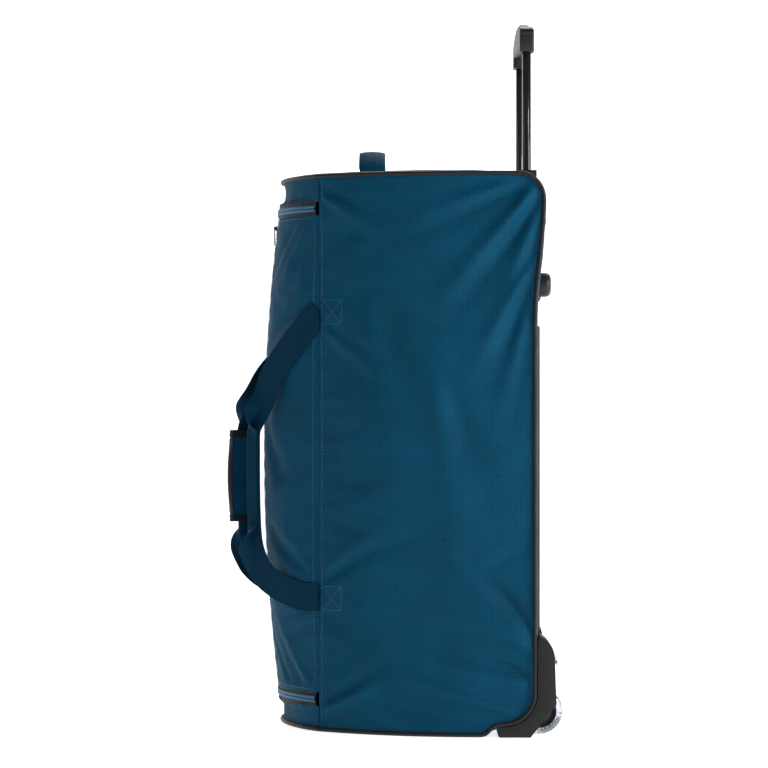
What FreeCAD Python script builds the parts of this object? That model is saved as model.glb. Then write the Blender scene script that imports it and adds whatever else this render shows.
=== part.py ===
"""Rolling duffel bag, 30 inch class: sewn shell on a back frame with a telescoping trolley and two wheels.

The bag stands upright on its bottom end. +Z is up, -Y is the front with the zips and carry handles, +Y is
the back with the trolley and wheels, and +X is the right-hand side. The origin is on the floor under the
centre.
"""
import FreeCAD, Part
import math
import os

doc = FreeCAD.newDocument("rolling_duffel")
V = FreeCAD.Vector

# ---------------------------------------------------------------- driving dimensions, millimetres
DIMENSIONS = {
    # sewn shell
    "bag_height": 763, "panel_thick": 3, "back_half": 190, "side_straight_y": 120,
    "seam_x": 128, "seam_y": -101, "strip_sag": 52, "flap_end_sag": 60, "flap_mid_sag": 80,
    "back_y": 195.5, "top_back_y": 208, "corner_radius": 38, "back_straight_z": 560,
    "welt_radius": 2.8, "welt_inset": 3.4, "welt_gap": 0.1, "welt_corner_drop": 1.85,
    # zips
    "zip_low": 44, "zip_high": 716, "zip_half_width": 10, "zip_split": 0.3, "flap_seam_gap": 3,
    # carry handles
    "web_width": 38, "web_thick": 2.5, "anchor_high_z": 574, "anchor_low_z": 183, "anchor_length": 29,
    "anchor_setback": 6,
    "strap_start": 4, "near_reach": 119, "far_reach": 141.4,
    "wrap_width": 43, "wrap_thick": 13, "wrap_length": 131, "wrap_mid_z": 344,
    # haul handle
    "haul_y": -28.5, "haul_rise": 36, "haul_half": 85, "haul_pad_half": 77, "haul_pad_thick": 9,
    "haul_pad_width": 38, "haul_web_width": 25, "haul_web_thick": 2,
    # trolley
    "tube_x": 100, "tube_y": 185, "inner_radius": 6.2, "inner_bore": 5, "outer_bore": 6.3,
    "outer_radius": 7.2,
    "outer_low": 78, "outer_high": 742, "inner_low": 545, "inner_high": 948, "travel": 160,
    "bezel_thick": 6, "bezel_skirt": 14, "bezel_half": 122, "bezel_depth": 26, "boss_radius": 9,
    "bush_bore": 6.26,
    "bracket_low": 66, "board_half": 150, "board_thick": 2.5, "board_low": 92, "board_high": 738,
    # grip, button and latch
    "grip_half": 112, "grip_depth": 20, "grip_end_low": 933, "grip_end_high": 965, "grip_mid_low": 946,
    "grip_mid_high": 978, "grip_split": 956, "button_half": 14, "button_half_depth": 6.5, "button_rise": 4,
    "yoke_low": 957, "yoke_thick": 4, "rod_radius": 2, "latch_z": 557, "latch_pin_radius": 2.5,
    "latch_reach": 8.6, "latch_slot_width": 5.8,
    # running gear
    "wheel_x": 154, "wheel_y": 200, "wheel_radius": 32, "hub_radius": 22.5, "wheel_width": 24,
    "bearing_radius": 11, "bearing_width": 7, "axle_radius": 4, "well_radius": 35, "well_width": 28,
    "housing_low_x": 130, "housing_high_x": 193, "housing_wall": 3, "guard_back_y": 221, "guard_top": 135,
    "guard_front_y": 142, "guard_foot_high": 14.3, "guard_inner_radius": 45,
    # back protection
    "rail_x": 130, "rail_width": 16, "rail_thick": 6, "rail_low": 138, "rail_high": 555,
    "foot_z": 611, "foot_radius": 16.5, "foot_face_y": 216.5, "screw_radius": 2,
}
sheet = doc.addObject("Spreadsheet::Sheet", "dims")
for row, (alias, number) in enumerate(DIMENSIONS.items(), start=1):
    sheet.set(f"A{row}", alias)
    sheet.set(f"B{row}", str(number))
    sheet.setAlias(f"B{row}", alias)
doc.recompute()


def dim(alias):
    """A driving dimension, read back from the sheet."""
    return float(sheet.get(alias))


SIDES = {"right": 1, "left": -1}
FAR = 400           # reach of a construction solid past the bag
finished = {}


# ---------------------------------------------------------------- helpers
def bind(obj, **expressions):
    """Bind properties to sheet expressions; an @ stands before each name from the sheet."""
    for prop, expression in expressions.items():
        text = str(expression)
        for alias in sorted(DIMENSIONS, key=len, reverse=True):
            text = text.replace("@" + alias, "dims." + alias)
        obj.setExpression(prop.replace("__", "."), text)
    return obj


def place(obj, x="0", y="0", z="0"):
    return bind(obj, Placement__Base__x=x, Placement__Base__y=y, Placement__Base__z=z)


def keep(obj, node):
    """Name a finished sub-part."""
    obj.Label = node
    finished[node] = obj
    return obj


def box(name, x, y, z, length, width, height):
    """A box from its lowest corner and its three sizes."""
    solid = doc.addObject("Part::Box", name)
    bind(solid, Length=length, Width=width, Height=height)
    return place(solid, x, y, z)


AXIS_TURN = {"x": (V(0, 1, 0), 90), "y": (V(1, 0, 0), -90), "z": (V(0, 0, 1), 0)}


def rod(name, axis, x, y, z, radius, length):
    """A cylinder that starts at a point and runs along a positive axis."""
    solid = doc.addObject("Part::Cylinder", name)
    solid.Placement = FreeCAD.Placement(V(), FreeCAD.Rotation(*AXIS_TURN[axis]))
    bind(solid, Radius=radius, Height=length)
    return place(solid, x, y, z)


def fuse(name, shapes):
    result = doc.addObject("Part::MultiFuse", name)
    result.Shapes = shapes
    return result


def cut(name, base, tools):
    tool = tools[0] if len(tools) == 1 else fuse(name + "_tools", tools)
    result = doc.addObject("Part::Cut", name)
    result.Base = base
    result.Tool = tool
    return result


def common(name, base, tool):
    result = doc.addObject("Part::Common", name)
    result.Base = base
    result.Tool = tool
    return result


def arc(start, middle, end):
    return Part.Arc(V(*start, 0), V(*middle, 0), V(*end, 0))


def line(start, end):
    return Part.LineSegment(V(*start, 0), V(*end, 0))


def polyline(points, closed=True):
    last = len(points) if closed else len(points) - 1
    return [line(points[i], points[(i + 1) % len(points)]) for i in range(last)]


SKETCH_TURN = {"XY": FreeCAD.Rotation(), "XZ": FreeCAD.Rotation(V(1, 0, 0), 90),
               "YZ": FreeCAD.Rotation(V(1, 1, 1), 120)}


def outline(name, plane, geometry):
    """A sketch on a base plane. YZ sketches hold (Y, Z), XZ sketches hold (X, Z)."""
    sketch = doc.addObject("Sketcher::SketchObject", name + "_outline")
    sketch.Placement = FreeCAD.Placement(V(), SKETCH_TURN[plane])
    sketch.addGeometry(geometry, False)
    return sketch


def extrude(name, sketch, direction, start, length):
    """A sketch pulled along an axis from a start position, both bound to the sheet."""
    solid = doc.addObject("Part::Extrusion", name)
    solid.Base = sketch
    solid.DirMode = "Custom"
    solid.Dir = direction
    solid.Solid = True
    bind(solid, LengthFwd=length)
    axis = "xyz"[[abs(c) > 0.5 for c in direction].index(True)]
    return bind(solid, **{f"Placement__Base__{axis}": start})


def pad_body(name, plane, geometry, offset, length):
    """A PartDesign body padded from one sketch on an origin plane."""
    body = doc.addObject("PartDesign::Body", name + "_body")
    role = plane + "_Plane"
    origin_plane = [f for f in body.Origin.OriginFeatures if f.Role == role][0]
    sketch = body.newObject("Sketcher::SketchObject", name + "_sketch")
    sketch.AttachmentSupport = [(origin_plane, "")]
    sketch.MapMode = "FlatFace"
    bind(sketch, AttachmentOffset__Base__z=offset)
    sketch.addGeometry(geometry, False)
    pad = body.newObject("PartDesign::Pad", name + "_pad")
    pad.Profile = sketch
    bind(pad, Length=length)
    return body


def loft_body(name, sections):
    """A PartDesign body lofted through sketches parallel to the floor; sections are (height, geometry)."""
    body = doc.addObject("PartDesign::Body", name + "_body")
    floor = [f for f in body.Origin.OriginFeatures if f.Role == "XY_Plane"][0]
    sketches = []
    for i, (height, geometry) in enumerate(sections):
        sketch = body.newObject("Sketcher::SketchObject", f"{name}_section{i}")
        sketch.AttachmentSupport = [(floor, "")]
        sketch.MapMode = "FlatFace"
        bind(sketch, AttachmentOffset__Base__z=height)
        sketch.addGeometry(geometry, False)
        sketches.append(sketch)
    loft = body.newObject("PartDesign::AdditiveLoft", name + "_loft")
    loft.Profile = sketches[0]
    loft.Sections = sketches[1:]
    return body


def revolve_body(name, geometry, x, y, z):
    """A PartDesign body turned about the X axis through a point; the sketch holds (X, radius)."""
    body = doc.addObject("PartDesign::Body", name + "_body")
    origin_plane = [f for f in body.Origin.OriginFeatures if f.Role == "XZ_Plane"][0]
    sketch = body.newObject("Sketcher::SketchObject", name + "_sketch")
    sketch.AttachmentSupport = [(origin_plane, "")]
    sketch.MapMode = "FlatFace"
    sketch.addGeometry(geometry, False)
    turned = body.newObject("PartDesign::Revolution", name + "_turned")
    turned.Profile = sketch
    turned.ReferenceAxis = (sketch, ["H_Axis"])
    turned.Angle = 360
    return place(body, x, y, z)


# ---------------------------------------------------------------- sewn shell
# The end panels and the back are one gusset seen from the side; the side panels wrap round it to the front.
def silhouette(inset):
    """Side outline of the bag as (Y, Z), open towards the front, moved inwards by inset."""
    top = dim("bag_height") - inset
    back = dim("back_y") - inset
    top_back = dim("top_back_y") - inset
    corner = dim("corner_radius") - inset
    inner = dim("guard_inner_radius") - inset
    foot_high = dim("guard_foot_high") + 0.2 + inset
    guard_y = dim("guard_front_y") - 1
    bend_y = back - inner
    bend_z = foot_high + inner
    half = math.sqrt(0.5)
    straight_z = dim("back_straight_z")
    bulge = Part.BSplineCurve()
    bulge.interpolate([V(back, straight_z, 0), V(back + 5, 645, 0), V(top_back, top - corner, 0)],
                      InitialTangent=V(0, 1, 0), FinalTangent=V(0, 1, 0))
    corner_y = top_back - corner
    corner_z = top - corner
    return [
        line((-FAR, inset), (guard_y - 15, inset)),
        line((guard_y - 15, inset), (guard_y, foot_high)),
        line((guard_y, foot_high), (bend_y, foot_high)),
        arc((bend_y, foot_high), (bend_y + inner * half, bend_z - inner * half), (back, bend_z)),
        line((back, bend_z), (back, straight_z)),
        bulge,
        arc((top_back, corner_z), (corner_y + corner * half, corner_z + corner * half), (corner_y, top)),
        line((corner_y, top), (-FAR, top)),
        line((-FAR, top), (-FAR, inset)),
    ]


def side_arc_centre():
    """Centre and radius of the arc from the straight side to the front seam, tangent to the side."""
    rise = dim("side_straight_y") - dim("seam_y")
    run = dim("back_half") - dim("seam_x")
    radius = (rise ** 2 + run ** 2) / (2 * run)
    return dim("back_half") - radius, dim("side_straight_y"), radius


def side_x(y, inset=0):
    """Half width of the bag at a distance y, up to the seam."""
    centre_x, centre_y, radius = side_arc_centre()
    if y > centre_y:
        return dim("back_half") - inset
    return centre_x + math.sqrt((radius - inset) ** 2 - (centre_y - y) ** 2)


def plan(inset):
    """Plan outline of the bag between the seams and the back, open at the back, moved inwards by inset."""
    seam_y = dim("seam_y")
    seam_x = side_x(seam_y, inset)
    sag = dim("strip_sag") - inset
    mid_y = (seam_y + dim("side_straight_y")) / 2
    edges = [arc((-seam_x, seam_y), (0, seam_y - sag), (seam_x, seam_y))]
    for sign in (1, -1):
        edges += [
            arc((sign * seam_x, seam_y), (sign * side_x(mid_y, inset), mid_y),
                (sign * (dim("back_half") - inset), dim("side_straight_y"))),
            line((sign * (dim("back_half") - inset), dim("side_straight_y")),
                 (sign * (dim("back_half") - inset), FAR)),
        ]
    edges.append(line((-(dim("back_half") - inset), FAR), (dim("back_half") - inset, FAR)))
    return edges


def bag_prisms(tag):
    """The four construction prisms of the shell: outer side and plan, then inner side and plan."""
    prisms = []
    for level, inset in {"outer": 0, "inner": dim("panel_thick")}.items():
        side_name = f"{tag}_{level}_side"
        plan_name = f"{tag}_{level}_plan"
        side_sketch = outline(side_name, "YZ", silhouette(inset))
        plan_sketch = outline(plan_name, "XY", plan(inset))
        prisms.append(extrude(side_name, side_sketch, V(1, 0, 0), -FAR, 2 * FAR))
        prisms.append(extrude(plan_name, plan_sketch, V(0, 0, 1), -10, 2 * FAR))
    return prisms


outer_side, outer_plan, inner_side, inner_plan = bag_prisms("shell")
gusset = common("gusset", cut("gusset_ring", outer_side, [inner_side]), outer_plan)
walls = common("walls", cut("wall_ring", outer_plan, [inner_plan]), inner_side)

# The trolley bosses pass through the top end, the wheel wells through the bottom end, the foot screws
# through the back.
boss_holes = [
    rod(f"boss_hole_{side}", "z", f"{sign} * @tube_x", "@tube_y", "@bag_height - 30", "@boss_radius + 0.2",
        40)
    for side, sign in SIDES.items()
]
top_region = box("top_region", -FAR, -FAR, 680, 2 * FAR, 2 * FAR, 200)
keep(cut("top_end", common("top_gusset", gusset, top_region), boss_holes), "top_end_panel")

well_holes = [
    rod(f"well_hole_{side}", "x", f"{sign} * @wheel_x - @well_width / 2 - @housing_wall - 0.5", "@wheel_y",
        "@wheel_radius", "@well_radius + @housing_wall + 0.5", "@well_width + 2 * @housing_wall + 1")
    for side, sign in SIDES.items()
]
bottom_region = box("bottom_region", -FAR, -FAR, -20, 2 * FAR, 2 * FAR, 112)
keep(cut("bottom_end", common("bottom_gusset", gusset, bottom_region), well_holes), "bottom_end_panel")

foot_holes = [
    rod(f"foot_hole_{side}", "y", f"{sign} * @rail_x", "@back_y - 20", "@foot_z", "@screw_radius + 0.2", 40)
    for side, sign in SIDES.items()
]
back_region = box("back_region", -FAR, 0, 92, 2 * FAR, FAR, 588)
keep(cut("back", common("back_gusset", gusset, back_region), foot_holes), "back_panel")

for side, sign in SIDES.items():
    region = box(f"side_region_{side}", 0 if sign > 0 else -FAR, "@seam_y", -20, FAR, 2 * FAR, 2 * FAR)
    keep(common(f"side_{side}", walls, region), f"side_panel_{side}")

for level, base in {"upper": "@zip_high + @zip_half_width",
                    "lower": "@zip_low - @zip_half_width - 100"}.items():
    region = box(f"strip_region_{level}", -FAR, -FAR, base, 2 * FAR, "400 + @seam_y", 100)
    keep(common(f"strip_{level}", walls, region), f"front_strip_{level}")


def welt(sign):
    """Piping round one side panel and on to the middle of the front at both ends."""
    radius = dim("welt_radius")
    inset = dim("welt_inset")
    out = radius + dim("welt_gap")
    centre_x, centre_y, arc_radius = side_arc_centre()
    corner_y = dim("seam_y") - dim("welt_corner_drop")
    mid_y = (corner_y + centre_y) / 2
    x = dim("back_half") + out

    def plan_point(y, z):
        return V(sign * (side_x(y, -out) if y < centre_y else x), y, z)

    sag = dim("strip_sag")
    half = dim("seam_x")
    front_centre = dim("seam_y") - sag + (half ** 2 + sag ** 2) / (2 * sag)
    corner = plan_point(corner_y, 0)
    front_reach = math.hypot(corner.x, front_centre - corner.y)
    front_end = math.asin(abs(corner.x) / front_reach)

    def front_point(share, z):
        turn = front_end * share
        return V(sign * front_reach * math.sin(turn), front_centre - front_reach * math.cos(turn), z)

    edges = []
    side_edges = silhouette(inset)[1:7]
    low_z = inset
    high_z = dim("bag_height") - inset
    start = side_edges[0].StartPoint
    end = side_edges[-1].EndPoint
    edges.append(Part.Arc(front_point(0.001, low_z), front_point(0.5, low_z),
                          front_point(1, low_z)).toShape())
    edges.append(Part.Arc(plan_point(corner_y, low_z), plan_point(mid_y, low_z),
                          plan_point(centre_y, low_z)).toShape())
    edges.append(Part.LineSegment(plan_point(centre_y, low_z), V(sign * x, start.x, low_z)).toShape())
    to_side = FreeCAD.Placement(V(sign * x, 0, 0), SKETCH_TURN["YZ"])
    for curve in side_edges:
        edge = curve.toShape()
        edge.Placement = to_side
        edges.append(edge)
    edges.append(Part.LineSegment(V(sign * x, end.x, high_z), plan_point(centre_y, high_z)).toShape())
    edges.append(Part.Arc(plan_point(centre_y, high_z), plan_point(mid_y, high_z),
                          plan_point(corner_y, high_z)).toShape())
    edges.append(Part.Arc(front_point(1, high_z), front_point(0.5, high_z),
                          front_point(0.001, high_z)).toShape())
    path = Part.Wire(edges)
    tangent = edges[0].tangentAt(edges[0].FirstParameter)
    section = Part.Wire(Part.Circle(front_point(0.001, low_z), tangent, radius).toShape())
    return path.makePipeShell([section], True, False, 2)


for side, sign in SIDES.items():
    piping = doc.addObject("Part::Feature", f"piping_{side}")
    piping.Shape = welt(sign)
    keep(piping, f"edge_piping_{side}")


# ---------------------------------------------------------------- front flaps and zips
# Each flap is half of the front: it hinges on its side seam and carries one half of every zip that closes
# it.
def front_section(sag, x_from, x_to, thick, sign):
    """A stretch of the front arc between two distances from the centre line, as (X, Y)."""
    half = dim("seam_x")
    radius = (half ** 2 + sag ** 2) / (2 * sag)
    centre = dim("seam_y") - sag + radius

    def point(x, reach):
        turn = math.asin(x / radius)
        return sign * reach * math.sin(turn), centre - reach * math.cos(turn)

    inner = radius - thick
    middle = (x_from + x_to) / 2
    return [
        arc(point(x_from, radius), point(middle, radius), point(x_to, radius)),
        line(point(x_to, radius), point(x_to, inner)),
        arc(point(x_to, inner), point(middle, inner), point(x_from, inner)),
        line(point(x_from, inner), point(x_from, radius)),
    ]


def front_loft(name, x_from, x_to, sign):
    """A front piece between the cross zips, bulging from the end sag to the middle sag and back."""
    thick = dim("panel_thick")
    levels = [("@zip_low + @zip_half_width", "flap_end_sag"), ("(@zip_low + @zip_high) / 2", "flap_mid_sag"),
              ("@zip_high - @zip_half_width", "flap_end_sag")]
    return loft_body(name, [(z, front_section(dim(sag), x_from, x_to, thick, sign)) for z, sag in levels])


centre_gap = dim("zip_split")
tape = dim("zip_half_width")
seam_end = dim("seam_x") - dim("flap_seam_gap")
for side, sign in SIDES.items():
    keep(front_loft(f"flap_{side}", tape, seam_end, sign), f"front_flap_{side}")
    end_arc = front_section(dim("flap_end_sag"), centre_gap, seam_end, dim("panel_thick"), sign)
    cross_upper = pad_body(f"cross_upper_{side}", "XY", end_arc, "@zip_high - @zip_half_width",
                           "@zip_half_width")
    cross_lower = pad_body(f"cross_lower_{side}", "XY", end_arc, "@zip_low", "@zip_half_width")
    runs = [front_loft(f"centre_zip_{side}", centre_gap, tape, sign), cross_upper, cross_lower]
    keep(fuse(f"zip_{side}", runs), f"zip_half_{side}")

frame_outer = front_section(dim("flap_end_sag"), 0, seam_end, 12, 1)
frame_inner = front_section(dim("flap_end_sag"), 0, seam_end, 12, -1)
frame_arc = [
    arc((-frame_outer[0].EndPoint.x, frame_outer[0].EndPoint.y), (0, frame_outer[0].StartPoint.y),
        (frame_outer[0].EndPoint.x, frame_outer[0].EndPoint.y)),
    frame_outer[1],
    arc((frame_outer[2].StartPoint.x, frame_outer[2].StartPoint.y), (0, frame_outer[2].EndPoint.y),
        (-frame_outer[2].StartPoint.x, frame_outer[2].StartPoint.y)),
    frame_inner[1],
]
keep(pad_body("zip_upper", "XY", frame_arc, "@zip_high + @zip_split", "@zip_half_width - @zip_split"),
     "zip_half_upper")
keep(pad_body("zip_lower", "XY", frame_arc, "@zip_low - @zip_half_width", "@zip_half_width - @zip_split"),
     "zip_half_lower")

# Sliders stand in front of the zip halves of the left flap, each with a pull that hangs from a cross bar.
# They are drawn upright at the middle of the front and turned to face out from their place on the arc.
SLIDERS = {"upper": (-80, 1.4, "@zip_high - 8"), "centre": (-5, 2.6, "@zip_high - 24"),
           "lower": (-80, 1.4, "@zip_low + 1")}    # distance from the middle, stand-off from the arc, height


def on_front(shape, x):
    """Carry a solid drawn at the middle of the front round the end arc to a distance x from the middle."""
    radius = (dim("seam_x") ** 2 + dim("flap_end_sag") ** 2) / (2 * dim("flap_end_sag"))
    turn = math.asin(x / radius)
    centre = dim("seam_y") - dim("flap_end_sag") + radius
    point = V(radius * math.sin(turn), centre - radius * math.cos(turn), 0)
    shape.Placement = FreeCAD.Placement(point, FreeCAD.Rotation(V(0, 0, 1), math.degrees(turn)))
    return shape


slider_solids = []
for level, (slider_x, lift, slider_z) in SLIDERS.items():
    plate = box(f"slider_plate_{level}", -4, -2 - lift, slider_z, 8, 2, 7)
    ears = [
        box(f"slider_ear_{level}_{i}", x, -4.8 - lift, f"{slider_z} + 2", 1.2, 3, 4)
        for i, x in enumerate((-4, 2.8))
    ]
    slider_solids.append(on_front(fuse(f"slider_{level}", [plate] + ears), slider_x))
    pivot = rod(f"pull_pivot_{level}", "x", -2.5, -3.6 - lift, f"{slider_z} + 4", 0.7, 5)
    tab = box(f"pull_tab_{level}", -2.5, -4.3 - lift, f"{slider_z} - 20", 5, 1.4, 24)
    keep(on_front(fuse(f"pull_{level}", [pivot, tab]), slider_x), f"zip_pull_{level}")
keep(fuse("sliders", slider_solids), "zip_sliders")


# ---------------------------------------------------------------- carry handles
# A webbing loop leaves each side seam along the side panel, narrows where it is folded for the hand, and
# lies in one upright plane; its sewn ends are flat against the inside of the side panel.
centre_x, centre_y, arc_radius = side_arc_centre()
seam_turn = math.degrees(math.asin((centre_y - dim("seam_y")) / arc_radius))


def loop_outline(reach):
    """Webbing loop as (distance from the seam, Z): wide at both seams, folded to half width at the hand."""
    start = dim("strap_start")
    half = dim("web_width") / 2
    high = dim("anchor_high_z")
    low = dim("anchor_low_z")
    inner = reach - half - 1
    return polyline([
        (start, high + half), (14, high + half + 6), (reach, 436), (reach, 290), (reach + 6, 220),
        (reach + 4, 194), (reach - 22, 174), (start, low - half), (start, low + half),
        (42, low + half), (inner - 6, 234), (inner, 270), (inner, 446), (42, 540), (start, high - half),
    ])


def seam_plane(shape, sign, thick):
    """Turn a solid drawn on XZ with its seam at X = 0 onto the plane that leaves the seam."""
    turned = FreeCAD.Rotation(V(0, 0, 1), -90 - seam_turn if sign > 0 else -90 + seam_turn)
    lift = thick / 2 + 0.5
    seam = V(sign * (dim("seam_x") + lift * math.cos(math.radians(seam_turn))), dim("seam_y") - 0.6, 0)
    shape.Placement = FreeCAD.Placement(seam, turned)
    return shape


for side, sign in SIDES.items():
    reach = dim("near_reach") if sign > 0 else dim("far_reach")
    loop = pad_body(f"loop_{side}", "XZ", loop_outline(reach), "-@web_thick / 2", "@web_thick")
    keep(seam_plane(loop, sign, dim("web_thick")), f"carry_handle_{side}")

wrap_mid = dim("far_reach") - dim("web_width") / 4
wrap = box("wrap_block", wrap_mid - dim("wrap_width") / 2, "-@wrap_thick / 2",
           "@wrap_mid_z - @wrap_length / 2",
           "@wrap_width", "@wrap_thick", "@wrap_length")
rounded = doc.addObject("Part::Fillet", "wrap_rounded")
rounded.Base = wrap
doc.recompute()
upright = [i for i, edge in enumerate(wrap.Shape.Edges, start=1)
           if abs(edge.BoundBox.ZLength - dim("wrap_length")) < 0.01]
rounded.Edges = [(i, 5.5, 5.5) for i in upright]
wrap_core = pad_body("wrap_core", "XZ", loop_outline(dim("far_reach")), "-@web_thick / 2", "@web_thick")
keep(seam_plane(cut("wrap", rounded, [wrap_core]), -1, dim("web_thick")), "grip_wrap")


def sewn_end(sign, middle):
    """Flat end of the webbing sewn to the inside of the side panel, following its curve behind the seam."""
    front = dim("seam_y") + dim("anchor_setback")
    back = front + dim("anchor_length")
    gap = dim("panel_thick") + 0.1
    thick = dim("web_thick")
    mid = (front + back) / 2

    def edge_point(y, inset):
        return sign * side_x(y, inset), y

    points = [edge_point(y, inset) for inset,
              ys in ((gap, (front, mid, back)), (gap + thick, (back, mid, front)))
              for y in ys]
    geometry = [arc(*points[:3]), line(points[2], points[3]), arc(*points[3:]), line(points[5], points[0])]
    name = f"sewn_end_{'right' if sign > 0 else 'left'}_{middle}"
    return pad_body(name, "XY", geometry, f"@{middle} - @web_width / 2", "@web_width")


sewn_ends = [sewn_end(sign, middle) for sign in SIDES.values() for middle in ("anchor_high_z",
                                                                              "anchor_low_z")]
keep(fuse("sewn_ends", sewn_ends), "handle_sewn_ends")


# ---------------------------------------------------------------- haul handle
def arch(name, thick, width, half, start_half):
    """A stretch of the haul handle's arch, as wide as given, between two distances from the centre."""
    rise = dim("haul_rise")
    span = dim("haul_half")
    foot_z = dim("bag_height")
    radius = (span ** 2 + rise ** 2) / (2 * rise)
    centre = foot_z + rise - radius

    def point(x, reach):
        turn = math.asin(x / radius)
        return reach * math.sin(turn), centre + reach * math.cos(turn)

    low = radius - thick / 2
    high = radius + thick / 2
    middle = (start_half + half) / 2
    geometry = [
        arc(point(start_half, high), point(middle, high), point(half, high)),
        line(point(half, high), point(half, low)),
        arc(point(half, low), point(middle, low), point(start_half, low)),
        line(point(start_half, low), point(start_half, high)),
    ]
    return pad_body(name, "XZ", geometry, f"-@haul_y - {width} / 2", width)


haul_half = dim("haul_half")
haul_web = fuse("haul_web", [
    arch("haul_core", dim("haul_web_thick"), dim("haul_web_width"), haul_half, -haul_half),
    box("haul_tab_right", "@haul_half - 2", "@haul_y - @haul_web_width / 2", "@bag_height", 24,
        "@haul_web_width", "@haul_web_thick"),
    box("haul_tab_left", "-@haul_half - 22", "@haul_y - @haul_web_width / 2", "@bag_height", 24,
        "@haul_web_width", "@haul_web_thick"),
])
keep(cut("haul_webbing", haul_web,
         [box("haul_floor", -FAR, -FAR, "@bag_height - 20", 2 * FAR, 2 * FAR, 20)]),
     "haul_handle_webbing")
pad_half = dim("haul_pad_half")
haul_pad = arch("haul_pad", dim("haul_pad_thick"), dim("haul_pad_width"), pad_half, -pad_half)
haul_slot = arch("haul_slot", dim("haul_web_thick"), dim("haul_web_width"), haul_half, -haul_half)
keep(cut("haul_cover", haul_pad, [haul_slot]), "haul_handle_pad")

# ---------------------------------------------------------------- back frame
board = box("board", "-@board_half", "@tube_y - @outer_radius - @board_thick - 0.4", "@board_low",
            "2 * @board_half", "@board_thick", "@board_high - @board_low")
keep(board, "back_board")
bracket = box("bracket", "-@tube_x - 18", "@tube_y - 8", "@bracket_low", "2 * @tube_x + 36", 15.2,
              "@outer_low - @bracket_low")
spigots = [
    rod(f"spigot_{side}", "z", f"{sign} * @tube_x", "@tube_y", "@outer_low - 1", "@outer_bore - 0.1", 11)
    for side, sign in SIDES.items()
]
keep(fuse("lower_bracket", [bracket] + spigots), "trolley_lower_bracket")

bezel_block = box("bezel_block", "-@bezel_half", "@tube_y - @bezel_depth / 2", "@bag_height - @bezel_skirt",
                  "2 * @bezel_half", "@bezel_depth", "@bezel_thick + @bezel_skirt")
bezel_plate = cut("bezel_plate", bezel_block, [outer_side])
bosses = [
    rod(f"boss_{side}", "z", f"{sign} * @tube_x", "@tube_y", "@outer_high", "@boss_radius",
        "@bag_height - @outer_high + 1")
    for side, sign in SIDES.items()
]
bush_bores = [
    rod(f"bush_bore_{side}", "z", f"{sign} * @tube_x", "@tube_y", "@outer_high - 5", "@bush_bore", 60)
    for side, sign in SIDES.items()
]
keep(cut("bezel", fuse("bezel_solid", [bezel_plate] + bosses), bush_bores), "trolley_bezel")

for side, sign in SIDES.items():
    x = f"{sign} * @tube_x"
    tube = rod(f"outer_{side}", "z", x, "@tube_y", "@outer_low", "@outer_radius", "@outer_high - @outer_low")
    bore = rod(f"outer_bore_{side}", "z", x, "@tube_y", "@outer_low - 5", "@outer_bore",
               "@outer_high - @outer_low + 10")
    slot_x = "@tube_x" if sign > 0 else "-@tube_x - 12"
    slot = box(f"latch_slot_{side}", slot_x, "@tube_y - @latch_slot_width / 2", "@latch_z - @travel - 4", 12,
               "@latch_slot_width", "@travel + 8")
    keep(cut(f"outer_tube_cut_{side}", tube, [bore, slot]), f"outer_tube_{side}")

    inner = rod(f"inner_{side}", "z", x, "@tube_y", "@inner_low", "@inner_radius",
                "@inner_high - @inner_low")
    hollow = rod(f"inner_bore_{side}", "z", x, "@tube_y", "@inner_low - 5", "@inner_bore",
                 "@inner_high - @inner_low + 10")
    hole_x = "@tube_x" if sign > 0 else "-@tube_x - 12"
    pin_hole = rod(f"latch_hole_{side}", "x", hole_x, "@tube_y", "@latch_z", "@latch_pin_radius + 0.06", 12)
    keep(cut(f"inner_tube_cut_{side}", inner, [hollow, pin_hole]), f"inner_tube_{side}")

    block = rod(f"block_{side}", "z", x, "@tube_y", "@latch_z - 10", "@inner_bore", 19)
    block_bore = rod(f"block_bore_{side}", "x", f"{sign} * @tube_x - 12", "@tube_y", "@latch_z",
                     "@latch_pin_radius + 0.06", 24)
    rod_way = rod(f"rod_way_{side}", "z", x, "@tube_y", "@latch_z", "@rod_radius + 0.4", 20)
    keep(cut(f"block_cut_{side}", block, [block_bore, rod_way]), f"latch_block_{side}")

    pin_x = "@tube_x + 1" if sign > 0 else "-@tube_x - @latch_reach"
    keep(rod(f"pin_{side}", "x", pin_x, "@tube_y", "@latch_z", "@latch_pin_radius", "@latch_reach - 1"),
         f"latch_pin_{side}")
    keep(rod(f"push_{side}", "z", x, "@tube_y", "@latch_z + 7.2", "@rod_radius",
             "@yoke_low - @latch_z - 7.2"),
         f"push_rod_{side}")


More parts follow.
